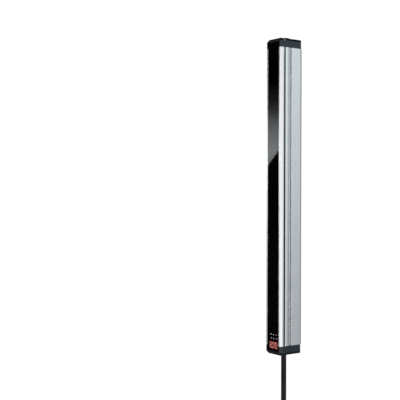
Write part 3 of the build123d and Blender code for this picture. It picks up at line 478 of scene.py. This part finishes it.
def lit(name, colour, strength, core):
    """A lit light guide, with paler spots in its light; the printed marks use it too, as a painted glow.
    """
    material, tree, shader, where = blank(name, IOR=1.45, Roughness=0.25, Emission_Strength=strength)
    cloud = place_group(tree, moulded_grain, where, Grain=1500.0, Cloud=700.0)["Cloud"]
    tone = blended(tree, reckon(tree, "MULTIPLY", cloud, 0.18), colour, core)
    into(tree, shader, Base_Color=blended(tree, cloud, times(colour, 0.25), times(colour, 0.5)),
         Emission_Color=tone)
    return material


def display_front():
    """The display's black face, with a painted red glow round its digits: emission that stands in for the
    light they scatter.
    """
    painted_glow_reach = 0.0028
    material = moulded("display_black", (0.01, 0.01, 0.01), (0.5, 0.65), Emission_Strength=1.0)
    tree = material.node_tree
    low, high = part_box("digit_middle")
    half = (high.z - low.z) / 2
    z = split(tree, add(tree, "ShaderNodeTexCoord").outputs["Object"])[2]
    off = reckon(tree, "ABSOLUTE", reckon(tree, "SUBTRACT", z, (low.z + high.z) / 2))
    near = spread(tree, off, half + painted_glow_reach, half)
    # Painted glow: red emission on the face near the digits
    glow = blended(tree, near, (0.0, 0.0, 0.0), (1.0, 0.02, 0.01))
    into(tree, tree.nodes["Principled BSDF"], Emission_Color=glow)
    return material


def striped_cores():
    """Insulation of the cores, each in its own colour by its place across."""
    material, tree, shader, where = blank("core_insulation", IOR=1.5)
    cloud, _, rough = grained(tree, where, 2400.0, 200.0, 0.35, 0.5)
    shades = [(0.12, 0.05, 0.02), (0.7, 0.68, 0.62), (0.02, 0.06, 0.3), (0.02, 0.02, 0.02),
              (0.3, 0.3, 0.31)]
    across = spread(tree, split(tree, where)[0], -0.0055, 0.0055)
    stripes = ramp_of(tree, across, [(i / len(shades), tint) for i, tint in enumerate(shades)],
                      interpolation="CONSTANT")
    tint = blended(tree, reckon(tree, "MULTIPLY", cloud, 0.2), stripes, (0.4, 0.38, 0.36))
    into(tree, shader, Base_Color=tint, Roughness=rough)
    return material


# Metals by colour, then roughness, lines a metre and rubbed colour where they differ from the usual
METALS = {
    "screw_steel": ((0.42, 0.42, 0.43),),
    "blackened_steel": ((0.06, 0.06, 0.065), (0.28, 0.42)),
    # A paler copy of the blackened steel: a painted glint on the upper screws
    "glint_painted_steel": ((0.3, 0.3, 0.31), (0.2, 0.34)),
    "capacitor_can": ((0.7, 0.7, 0.7),),
    "clamp_steel": ((0.6, 0.6, 0.6),),
    "plated_brass": ((0.66, 0.64, 0.6), (0.18, 0.32), 900.0),
    "pin_gold": ((0.85, 0.62, 0.26), (0.16, 0.28), 1800.0, (0.9, 0.75, 0.5)),
}

# Plastics by colour and roughness, then how much paler their edges are where that isn't the usual
PLASTICS = {
    "carrier_plastic": ((0.012, 0.012, 0.013), (0.6, 0.75)),
    "sensor_dark": ((0.012, 0.012, 0.018), (0.08, 0.16)),
    "chip_black": ((0.018, 0.018, 0.018), (0.45, 0.6)),
    "connector_white": ((0.72, 0.7, 0.62), (0.4, 0.5), 1.1),
    "tie_nylon": ((0.66, 0.64, 0.58), (0.42, 0.55), 1.1),
    "plug_black": ((0.016, 0.016, 0.017), (0.4, 0.52)),
    "insert_plastic": ((0.014, 0.014, 0.015), (0.45, 0.6)),
}

# Lit things by colour, share of the display's strength and colour of their cores
LIGHTS = {
    "digit_edge": ((1.0, 0.03, 0.02), 0.12, (1.0, 0.1, 0.08)),
    "lamp_white": ((0.97, 1.0, 0.95), 1.3, (1.0, 1.0, 1.0)),
    "lamp_green": ((0.62, 0.9, 0.6), 0.95, (0.8, 1.0, 0.8)),
    "lamp_red": ((1.0, 0.45, 0.5), 0.75, (1.0, 0.6, 0.6)),
    # The printed marks: print given a painted glow, though it is no lamp
    "print_painted_glow": ((0.6, 0.62, 0.64), 1.5, (0.7, 0.7, 0.7)),
}


@cache
def finish(key):
    """The finish of a slot or a lit thing, made the first time that it is asked for."""
    colours, strength = bpy.context.scene.curtain_colours, bpy.context.scene.curtain_studio.display
    if key in METALS:
        return metal(key, *METALS[key])
    if key in PLASTICS:
        return moulded(key, *PLASTICS[key])
    if key in LIGHTS:
        colour, share, core = LIGHTS[key]
        return lit(key, colour, strength * share, core)
    makers = {
        "anodised_aluminium": lambda: anodised(colours.aluminium),
        "smoked_pane": lambda: smoked_pane(colours.pane),
        "black_cap": lambda: cap_plastic(colours.cap),
        "seal_rubber": rubber,
        "lens_clear": clear_lens,
        "board_green": board_green,
        "core_insulation": striped_cores,
        "display_black": display_front,
        "digit_red": lambda: lit(key, colours.digits, strength * 2.3, (1.0, 0.75, 0.7)),
        "cable_jacket": lambda: jacket(colours.jacket),
        "tie_strap": lambda: woven(colours.strap),
    }
    return makers[key]()


def paint(thing, *keys):
    thing.data.materials.clear()
    for key in keys:
        thing.data.materials.append(finish(key))


# Mesh helpers


def publish(thing, slot, *nodes):
    """Seats a finished piece: it rides on the unit and may stand for CAD nodes."""
    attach(thing, BODY)
    if nodes:
        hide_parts(*nodes)
    return thing


def new_object(name, data):
    thing = bpy.data.objects.new(name, data)
    bpy.context.scene.collection.objects.link(thing)
    return thing


def from_form(name, form):
    mesh = bpy.data.meshes.new(name)
    form.to_mesh(mesh)
    form.free()
    return new_object(name, mesh)


def smooth(thing, degrees=32):
    thing.data.shade_smooth()
    thing.data.set_sharp_from_angle(angle=radians(degrees))


def merged_copy(node, name):
    """A copy of a CAD node's mesh with its doubles merged and its flat faces joined."""
    flat = radians(0.2)
    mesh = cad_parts[node].data.copy()
    mesh.name = name
    form = bmesh.new()
    form.from_mesh(mesh)
    bmesh.ops.remove_doubles(form, verts=form.verts, dist=2e-6)
    bmesh.ops.dissolve_degenerate(form, edges=form.edges, dist=1e-6)
    bmesh.ops.dissolve_limit(form, angle_limit=flat, verts=form.verts, edges=form.edges)
    form.to_mesh(mesh)
    form.free()
    return new_object(name, mesh)


def modify(thing, name, kind, **settings):
    modifier = thing.modifiers.new(name, kind)
    for setting, value in settings.items():
        setattr(modifier, setting, value)


def round_edges(thing, width, segments=2, degrees=34):
    modify(thing, "Rounded edges", "BEVEL", width=width, segments=segments, limit_method="ANGLE",
           angle_limit=radians(degrees), harden_normals=True, miter_outer="MITER_ARC")
    modify(thing, "Flat faces stay flat", "WEIGHTED_NORMAL", weight=100, keep_sharp=True)


def dress(node, name, key, edge):
    """A CAD node with rounded edges and its finish, in the node's place."""
    thing = merged_copy(node, name)
    smooth(thing)
    round_edges(thing, edge)
    paint(thing, key)
    return publish(thing, key, node)


def spun(profile):
    """A turned form from (radius, height) points, about the Z axis."""
    form = bmesh.new()
    verts = [form.verts.new((r, 0.0, z)) for r, z in profile]
    edges = [form.edges.new(pair) for pair in zip(verts, verts[1:])]
    bmesh.ops.spin(form, geom=[*verts, *edges], cent=(0, 0, 0), axis=(0, 0, 1), angle=2 * pi,
                   steps=36, use_duplicate=False)
    bmesh.ops.remove_doubles(form, verts=form.verts, dist=1e-7)
    bmesh.ops.dissolve_degenerate(form, edges=form.edges, dist=1e-8)
    bmesh.ops.recalc_face_normals(form, faces=form.faces)
    return form


def joined(name, key, *things):
    """Joins mesh objects into one piece of one finish."""
    form = bmesh.new()
    for thing in things:
        form.from_mesh(thing.data)
        bpy.data.objects.remove(thing)
    for face in form.faces:
        face.material_index = 0
    piece = from_form(name, form)
    paint(piece, key)
    return piece


# Geometry node trees


def new_growth(name, **inputs):
    """A geometry tree that takes geometry and named inputs of named kinds and gives geometry."""
    tree = bpy.data.node_groups.new(name, "GeometryNodeTree")
    for direction in ("INPUT", "OUTPUT"):
        tree.interface.new_socket("Geometry", in_out=direction, socket_type="NodeSocketGeometry")
    for label, kind in inputs.items():
        tree.interface.new_socket(label, in_out="INPUT", socket_type="NodeSocket" + kind)
    return tree, add(tree, "NodeGroupInput").outputs, add(tree, "NodeGroupOutput")


def end_growth(tree, given, end, **instance):
    """The last steps of every tree: a form on each point, as real geometry with its finish."""
    placed = add(tree, "GeometryNodeInstanceOnPoints", Points=given["Geometry"], **instance)
    real = add(tree, "GeometryNodeRealizeInstances", placed.outputs[0])
    painted = add(tree, "GeometryNodeSetMaterial", Geometry=real.outputs[0], Material=given["Finish"])
    feed(tree, end.inputs[0], painted.outputs[0])
    return tree


@cache
def copies_tree():
    """Copies of a form on each point, all facing one way, each turned by a random share."""
    tree, given, end = new_growth("Copies on points", Form="Object", Facing="Vector", Turn="Float",
                                  Seed="Int", Finish="Material")
    form = add(tree, "GeometryNodeObjectInfo", Object=given["Form"])
    turn = add(tree, "FunctionNodeRandomValue", data_type="FLOAT", Seed=given["Seed"])
    most = turn.inputs[3]
    feed(tree, most, given["Turn"])
    about = add(tree, "ShaderNodeCombineXYZ", Z=turn.outputs[1])
    own = add(tree, "FunctionNodeEulerToRotation", about.outputs[0])
    facing = add(tree, "FunctionNodeEulerToRotation", given["Facing"])
    both = add(tree, "FunctionNodeRotateRotation", own.outputs[0], facing.outputs[0])
    return end_growth(tree, given, end, Instance=form.outputs["Geometry"], Rotation=both.outputs[0])


@cache
def helix_tree():
    """A thread's ridge wound about each point's upright axis."""
    tree, given, end = new_growth("Thread ridge", Radius="Float", Pitch="Float", Length="Float",
                                  Depth="Float", Finish="Material")
    turns = reckon(tree, "DIVIDE", given["Length"], given["Pitch"])
    line = add(tree, "GeometryNodeCurveSpiral", Resolution=28, Rotations=turns,
               Start_Radius=given["Radius"], End_Radius=given["Radius"], Height=given["Length"])
    upright = add(tree, "GeometryNodeSetCurveNormal", mode="Z_UP", Curve=line.outputs[0])
    ridge = add(tree, "GeometryNodeCurvePrimitiveCircle", Resolution=4, Radius=given["Depth"])
    swept = add(tree, "GeometryNodeCurveToMesh", Curve=upright.outputs[0],
                Profile_Curve=ridge.outputs[0], Fill_Caps=True)
    return end_growth(tree, given, end, Instance=swept.outputs[0])


def grow(name, maker, points, **values):
    """Runs a tree on a set of points and returns the result as a plain mesh object."""
    tree = maker()
    mesh = bpy.data.meshes.new(name + "_points")
    mesh.from_pydata(points, [], [])
    seedbed = new_object(name + "_points", mesh)
    modifier = seedbed.modifiers.new("Growth", "NODES")
    modifier.node_group = tree
    sockets = {s.name: s.identifier for s in tree.interface.items_tree if s.in_out == "INPUT"}
    for label, value in values.items():
        modifier[sockets[label]] = value
    bpy.context.view_layer.update()
    evaluated = seedbed.evaluated_get(bpy.context.evaluated_depsgraph_get())
    result = bpy.data.meshes.new_from_object(evaluated)
    result.name = name
    bpy.data.objects.remove(seedbed)
    if not result.polygons:
        raise RuntimeError(f"the growth of {name} came out empty")
    return new_object(name, result)


# Operators


class CURTAIN_OT_studio(bpy.types.Operator):
    """Camera at the photograph's angle, pale floor, white surroundings and soft lights"""

    bl_idname = "curtain.studio"
    bl_label = "Studio"

    brightest = 2.0
    cool_from = 20
    mirrored_way = Vector((-0.75, -0.66, 0.0))

    def execute(self, context):
        studio = context.scene.curtain_studio
        self.camera(context, studio)
        self.floor(studio)
        self.surroundings(context)
        self.key_light(studio)
        self.reflection_card()
        return {"FINISHED"}

    def camera(self, context, studio):
        data = bpy.data.cameras.new("camera")
        data.lens, data.sensor_width = studio.lens, 36.0
        data.clip_start, data.clip_end = 0.01, 100.0
        camera = new_object("camera", data)
        away = Vector((-sin(studio.around), cos(studio.around), 0.0))
        camera.location = MIDDLE - away * studio.distance + Vector((0, 0, studio.height))
        ahead = Matrix.Rotation(studio.turn, 3, "Z") @ away
        right = Vector((ahead.y, -ahead.x, 0.0))
        up = Vector((0, 0, 1))
        look = ahead * cos(studio.tilt) + up * sin(studio.tilt)
        top = up * cos(studio.tilt) - ahead * sin(studio.tilt)
        rolled_right = right * cos(studio.roll) + top * sin(studio.roll)
        rolled_top = top * cos(studio.roll) - right * sin(studio.roll)
        camera.rotation_euler = Matrix((rolled_right, rolled_top, -look)).transposed().to_euler()
        context.scene.camera = camera

    def floor(self, studio):
        form = bmesh.new()
        bmesh.ops.create_grid(form, x_segments=8, y_segments=8, size=6.0,
                              matrix=Matrix.Translation((0, 0, studio.floor)))
        floor = from_form("floor", form)
        material, tree, shader, where = blank(
            "floor", Roughness=0.9, Emission_Color=(1.0, 1.0, 1.0), Emission_Strength=0.93)
        grey = noise(tree, where, 3.0)
        into(tree, shader, Base_Color=blended(tree, grey, (0.86, 0.86, 0.86), (0.88, 0.88, 0.88)))
        floor.data.materials.append(material)
        floor.visible_glossy = False

    def surroundings(self, context):
        """White to the camera; to the surfaces, brightness by direction, as a studio has it."""
        world = bpy.data.worlds.new("studio")
        context.scene.world = world
        tree = empty_tree(world)
        x, y, z = split(tree, add(tree, "ShaderNodeTexCoord").outputs["Generated"])
        turned = spread(tree, reckon(tree, "ARCTAN2", y, x), -pi, pi)
        rings = []
        for column, tint in ((1, (0.95, 1.0, 1.07)), (2, (0.9, 1.0, 1.05))):
            stops = []
            for row in AROUND:
                cool = tint if row[0] > self.cool_from else (1.0, 1.0, 1.0)
                stops.append(((row[0] + 180) / 360, [row[column] / self.brightest * c for c in cool]))
            rings.append(ramp_of(tree, turned, stops))
        level = blended(tree, spread(tree, z, -0.2, 0.2), *rings)
        steep = spread(tree, reckon(tree, "ABSOLUTE", z), 0.3, 0.55)
        poles = (0.03, 0.034, 0.038)
        around = add(tree, "ShaderNodeBackground", blended(tree, steep, level, poles), self.brightest)
        white = add(tree, "ShaderNodeBackground", (1.0, 1.0, 1.0), 1.05)
        seen = add(tree, "ShaderNodeLightPath").outputs["Is Camera Ray"]
        mix = add(tree, "ShaderNodeMixShader", seen, around.outputs[0], white.outputs[0])
        add(tree, "ShaderNodeOutputWorld", mix.outputs[0])
        context.scene.view_settings.view_transform = "Standard"

    def key_light(self, studio):
        """A soft light from the window's side that falls on the profile alone."""
        data = bpy.data.lights.new("key_light", "AREA")
        data.shape, data.size, data.size_y, data.energy = "RECTANGLE", 0.5, 0.9, studio.key
        light = new_object("key_light", data)
        light.location = (0.12, -1.25, 0.1)
        light.rotation_euler = (MIDDLE - light.location).to_track_quat("-Z", "Y").to_euler()
        lit_things = bpy.data.collections.new("key_lit")
        lit_things.objects.link(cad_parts["housing_profile"])
        light.light_linking.receiver_collection = lit_things

    def reflection_card(self):
        """The slanted grey card that the window mirrors, a metre out in its mirror direction."""
        out = self.mirrored_way.normalized()
        across = Vector((-out.y, out.x, 0.0))
        base = Vector((0.0, -0.0347, 0.0)) + out
        corners = [(-0.16, -0.1162), (0.13, 0.2826), (0.13, 0.32), (-0.16, 0.32)]
        form = bmesh.new()
        form.faces.new([form.verts.new(base + across * s + Vector((0, 0, z))) for s, z in corners])
        card = from_form("mirrored_card", form)
        material = bpy.data.materials.new("mirrored_card")
        tree = empty_tree(material)
        low, high = 0.0, 0.3
        levels = [(0.07, 0.9), (0.106, 1.0), (0.165, 0.53), (0.2, 0.14), (0.225, 0.045), (0.27, 0.0)]
        stops = [((z - low) / (high - low), (level * 0.95, level * 0.98, level)) for z, level in levels]
        z = split(tree, add(tree, "ShaderNodeTexCoord").outputs["Object"])[2]
        glow = add(tree, "ShaderNodeEmission", ramp_of(tree, spread(tree, z, low, high), stops), 3.6)
        add(tree, "ShaderNodeOutputMaterial", glow.outputs[0])
        card.data.materials.append(material)
        for sight in ("camera", "diffuse", "transmission", "shadow", "volume_scatter"):
            setattr(card, "visible_" + sight, False)


class CURTAIN_OT_cable(bpy.types.Operator):
    """The cable as one smooth line, with its hank, strap and round plug"""

    bl_idname = "curtain.cable"
    bl_label = "Cable and plug"

    def execute(self, context):
        sizes = context.scene.curtain_sizes
        cable = self.line(sizes)
        strap = self.strap(sizes)
        plug = self.plug(sizes)
        return {"FINISHED"}

    def line(self, sizes):
        data = bpy.data.curves.new("cable", "CURVE")
        data.dimensions = "3D"
        spline = data.splines.new("NURBS")
        spline.points.add(len(CABLE_ROUTE) - 1)
        for point, place in zip(spline.points, CABLE_ROUTE):
            point.co = (*(c * MM for c in place), 1.0)
        spline.order_u = 3
        spline.use_endpoint_u = True
        spline.resolution_u = 12
        data.bevel_depth = sizes.cable_diameter / 2
        data.bevel_resolution = 7
        data.use_fill_caps = True
        cable = new_object("cable", data)
        data.materials.append(finish("cable_jacket"))
        return publish(cable, "cable_jacket", "cable_lead", "cable_hank")

    def strap(self, sizes):
        """A strap wound once and a third round the hank, its free end pressed onto itself."""
        low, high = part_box("hank_tie")
        middle, size, wall = (low + high) / 2, high - low, sizes.strap_thickness
        ring = self.strap_ring(size / 2, wall)
        form = bmesh.new()
        grid, gone, previous = [], 0.0, None
        for i, point in enumerate(ring + ring[:len(ring) // 3]):
            outward = 0.0 if i < len(ring) else wall * min(1.0, (i - len(ring) + 1) / 3) * 1.02
            place = point + point.normalized() * outward
            gone += 0.0 if previous is None else (place - previous).length
            previous = place
            column = []
            for share in (0.0, 0.12, 0.5, 0.88, 1.0):
                z = low.z + size.z * share
                vert = form.verts.new((middle.x + place.x, middle.y + place.y, z))
                column.append((vert, gone, share * size.z))
            grid.append(column)
        self.strap_faces(form, grid)
        strap = from_form("hank_strap", form)
        smooth(strap, 50)
        modify(strap, "Thickness", "SOLIDIFY", thickness=wall * 0.92, offset=1.0)
        round_edges(strap, 0.0003, 3, 40)
        paint(strap, "tie_strap")
        return publish(strap, "tie_strap", "hank_tie")

    def strap_ring(self, half, wall):
        """The inner line of the strap once round: a box with four round corners."""
        corner, steps = half.y * 0.42, 6
        ring = []
        for quarter, (sx, sy) in enumerate(((1, -1), (1, 1), (-1, 1), (-1, -1))):
            cx = sx * (half.x - wall - corner)
            cy = sy * (half.y - wall - corner)
            for i in range(steps + 1):
                turn = (quarter - 1 + i / steps) * pi / 2
                ring.append(Vector((cx + corner * cos(turn), cy + corner * sin(turn))))
        return ring

    def strap_faces(self, form, grid):
        """Faces between neighbouring columns of (vertex, way along, way across), mapped in metres."""
        path = form.loops.layers.uv.new("Path")
        for left, right in zip(grid, grid[1:]):
            for (a, b), (d, c) in zip(zip(left, left[1:]), zip(right, right[1:])):
                face = form.faces.new((a[0], d[0], c[0], b[0]))
                for loop, spot in zip(face.loops, (a, d, c, b)):
                    loop[path].uv = spot[1:]
        bmesh.ops.recalc_face_normals(form, faces=form.faces)

    def plug(self, sizes):
        body = dress("plug_body", "plug_grip", "plug_black", 0.00035)
        shell = dress("plug_shell", "plug_sleeve", "plated_brass", 0.0002)
        first_turn = (PLUG_LINE.x, PLUG_LINE.y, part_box("plug_shell")[0].z + 0.0007)
        thread = grow("plug_thread_ridge", helix_tree, [first_turn], Radius=0.00598,
                      Pitch=sizes.thread_pitch, Length=0.0086, Depth=0.00034,
                      Finish=finish("plated_brass"))
        smooth(thread, 60)
        publish(thread, "plated_brass")
        insert = dress("plug_insert", "plug_face", "insert_plastic", 0.00015)
        pins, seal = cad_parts["plug_pins"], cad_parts["plug_seal"]
        paint(pins, "pin_gold")
        paint(seal, "seal_rubber")
        return [body, shell, thread, insert, pins, seal]


class CURTAIN_OT_housing(bpy.types.Operator):
    """The anodised profile, the dark window, both caps and their gaskets and seals"""

    bl_idname = "curtain.housing"
    bl_label = "Housing"

    def execute(self, context):
        sizes = context.scene.curtain_sizes
        profile = dress("housing_profile", "profile", "anodised_aluminium", sizes.profile_edge)
        bpy.data.collections["key_lit"].objects.link(profile)
        dress("front_window", "window", "smoked_pane", sizes.pane_edge)
        dress("top_cap", "upper_cap", "black_cap", sizes.cap_edge)
        dress("bottom_cap", "lower_cap", "black_cap", sizes.cap_edge)
        for node in ("top_gasket", "bottom_gasket", "window_seal_left", "window_seal_right"):
            paint(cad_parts[node], "seal_rubber")
        return {"FINISHED"}


class CURTAIN_OT_fasteners(bpy.types.Operator):
    """Cap screws with socket heads and rolled threads, repeated on their places"""

    bl_idname = "curtain.fasteners"
    bl_label = "Fasteners"

    def execute(self, context):
        sizes = context.scene.curtain_sizes
        # The upper screws take the paler copy of the steel as a painted glint; the lower stay blackened
        self.cap_screws("top_cap_screws", "upper_screws", True, "glint_painted_steel", sizes)
        self.cap_screws("bottom_cap_screws", "lower_screws", False, "blackened_steel", sizes)
        return {"FINISHED"}

    def cap_screws(self, node, name, upper, key, sizes):
        low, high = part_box(node)
        length = (high.z - low.z) - HEAD_HEIGHT
        seat = high.z - HEAD_HEIGHT if upper else low.z + HEAD_HEIGHT
        rows = ((high.x - HEAD_RADIUS, SCREWS_Y[0]), (REAR_SCREW_X, SCREWS_Y[1]))
        places = [(side * x, y, seat) for x, y in rows for side in (-1, 1)]
        template = from_form("screw_form", self.screw(length))
        smooth(template, 30)
        facing = (0.0, 0.0, 0.0) if upper else (pi, 0.0, 0.0)
        screws = grow(name + "_bodies", copies_tree, places, Form=template, Facing=facing, Turn=1.0,
                      Seed=sizes.seed, Finish=finish(key))
        bpy.data.objects.remove(template)
        tip_room, neck_room = 0.0005, 0.0012
        start = seat - length + tip_room if upper else seat + neck_room
        ridges = grow(name + "_threads", helix_tree, [(x, y, start) for x, y, _ in places],
                      Radius=SHANK_RADIUS * 0.86, Pitch=sizes.screw_pitch,
                      Length=length - tip_room - neck_room, Depth=0.00024, Finish=finish(key))
        smooth(ridges, 60)
        publish(joined(name, key, screws, ridges), "screw_steel", node)

    def screw(self, length):
        """One cap screw from its tip to its socket, with its head's seat at the origin."""
        core, taper = SHANK_RADIUS * 0.82, 0.0004
        form = spun([
            (0.0, -length), (SHANK_RADIUS - taper, -length), (core, -length + 0.0006), (core, -0.001),
            (SHANK_RADIUS, -0.0006), (SHANK_RADIUS, 0.0), (HEAD_RADIUS - 0.0001, 0.0),
            (HEAD_RADIUS, 0.0001), (HEAD_RADIUS, HEAD_HEIGHT - taper),
            (HEAD_RADIUS - 0.00012, HEAD_HEIGHT - 0.00015), (HEAD_RADIUS - taper, HEAD_HEIGHT),
            (0.00112, HEAD_HEIGHT), (0.00104, HEAD_HEIGHT - 0.00012)])
        self.sink_socket(form)
        return form

    def sink_socket(self, form):
        """Fills the round hole in the head with a six-sided socket."""
        rim = [edge for edge in form.edges if edge.is_boundary]
        if not rim:
            raise RuntimeError("the screw's head has no opening for its socket")
        floor = HEAD_HEIGHT - SOCKET_DEPTH
        six = [form.verts.new((SOCKET_RADIUS * cos(pi / 3 * i), SOCKET_RADIUS * sin(pi / 3 * i),
                               HEAD_HEIGHT - SOCKET_LEAD)) for i in range(6)]
        deep = [form.verts.new((v.co.x, v.co.y, floor)) for v in six]
        tip = form.verts.new((0.0, 0.0, floor - 0.0003))
        inner = [form.edges.new((six[i], six[(i + 1) % 6])) for i in range(6)]
        bmesh.ops.bridge_loops(form, edges=[*rim, *inner])
        for i in range(6):
            j = (i + 1) % 6
            form.faces.new((six[i], six[j], deep[j], deep[i]))
            form.faces.new((deep[i], deep[j], tip))
        bmesh.ops.recalc_face_normals(form, faces=form.faces)


class CURTAIN_OT_inside(bpy.types.Operator):
    """Finishes of everything behind the window: optics, boards, display and cable entry"""

    bl_idname = "curtain.inside"
    bl_label = "Optics, boards and entry"

    plain = {
        "carrier_plastic": ("optics_carrier_lower", "optics_carrier_upper"),
        "lens_clear": ("lens_strip_lower", "lens_strip_upper"),
        "sensor_dark": ("photodiodes_lower", "photodiodes_upper"),
        "board_green": ("receiver_board", "processor_board", "display_board"),
        "screw_steel": ("board_screws", "clamp_screws"),
        "chip_black": ("amplifier_chips", "board_link", "controller_chips"),
        "capacitor_can": ("capacitors",),
        "connector_white": ("core_connector",),
        "core_insulation": ("cable_cores",),
        "display_black": ("display_housing",),
        "seal_rubber": ("cable_bushing", "end_buffer"),
        "clamp_steel": ("gland_clamp", "earth_spring"),
        "tie_nylon": ("inner_tie",),
    }

    def execute(self, context):
        for key, nodes in self.plain.items():
            for node in nodes:
                paint(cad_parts[node], key)
        for node in ("digit_left", "digit_middle", "digit_right"):
            self.digit(node)
        self.lamps()
        self.marks()
        return {"FINISHED"}

    def digit(self, node):
        """A lit digit: a bright line along the middle of its strokes, with a dim edge."""
        dim_edge = 0.00016
        thing = merged_copy(node, "lit_" + node)
        paint(thing, "digit_red", "digit_edge")
        form = bmesh.new()
        form.from_mesh(thing.data)
        front = [face for face in form.faces if face.normal.y < -0.9]
        for face in form.faces:
            face.material_index = 1
        bmesh.ops.inset_region(form, faces=front, thickness=dim_edge, use_even_offset=True)
        for face in front:
            face.material_index = 0
        form.to_mesh(thing.data)
        form.free()
        return publish(thing, "digit_red", node)

    def lamps(self):
        """Each lamp takes its colour by its place: white, green and red from the left."""
        middle_lamp = 0.002
        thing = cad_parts["status_lamps"]
        paint(thing, "lamp_white", "lamp_green", "lamp_red")
        for face in thing.data.polygons:
            x = face.center.x
            face.material_index = 0 if x < -middle_lamp else (1 if x < middle_lamp else 2)

    def marks(self):
        """Three small printed marks under the lamps, each of two bars, on the display's front, with a
        painted glow: they emit though print gives no light.
        """
        low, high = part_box("status_lamps")
        lamp_width, below_lamps, bar_height = 0.0015, 0.0033, 0.00042
        pitch, front = (high.x - low.x - lamp_width) / 2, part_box("display_housing")[0].y
        form = bmesh.new()
        for i in range(3):
            x, z = (i - 1) * pitch, low.z - below_lamps
            for width, drop in ((0.0012, 0.0), (0.0008, 0.0009)):
                place = Matrix.Translation((x, front - 0.00004, z - drop))
                size = Matrix.Diagonal((width, 0.00006, bar_height, 1.0))
                bmesh.ops.create_cube(form, size=1.0, matrix=place @ size)
        piece = from_form("display_marks", form)
        paint(piece, "print_painted_glow")
        publish(piece, "display_black")


class CURTAIN_PT_sidebar(bpy.types.Panel):
    """Lists the settings and the steps that dress the unit"""

    bl_idname = "CURTAIN_PT_sidebar"
    bl_label = "Light curtain"
    bl_space_type = "VIEW_3D"
    bl_region_type = "UI"
    bl_category = "Light curtain"

    def draw(self, context):
        layout = self.layout
        for group in SETTINGS:
            settings = getattr(context.scene, group)
            column = layout.column(align=True)
            for name in settings.__annotations__:
                column.prop(settings, name)
        for step in STEPS:
            layout.operator(step.bl_idname)


SETTINGS = {
    "curtain_studio": CurtainStudio,
    "curtain_sizes": CurtainSizes,
    "curtain_colours": CurtainColours,
}
STEPS = (CURTAIN_OT_studio, CURTAIN_OT_cable, CURTAIN_OT_housing, CURTAIN_OT_fasteners, CURTAIN_OT_inside)
CLASSES = (*SETTINGS.values(), *STEPS, CURTAIN_PT_sidebar)


def register():
    for item in CLASSES:
        bpy.utils.register_class(item)
    for name, group in SETTINGS.items():
        setattr(bpy.types.Scene, name, PointerProperty(type=group))


def unregister():
    for name in SETTINGS:
        delattr(bpy.types.Scene, name)
    for item in reversed(CLASSES):
        bpy.utils.unregister_class(item)


def main():
    register()
    for step in STEPS:
        module, name = step.bl_idname.split(".")
        if getattr(getattr(bpy.ops, module), name)() != {"FINISHED"}:
            raise RuntimeError(f"{step.bl_label} did not finish")


if __name__ == "__main__":
    main()
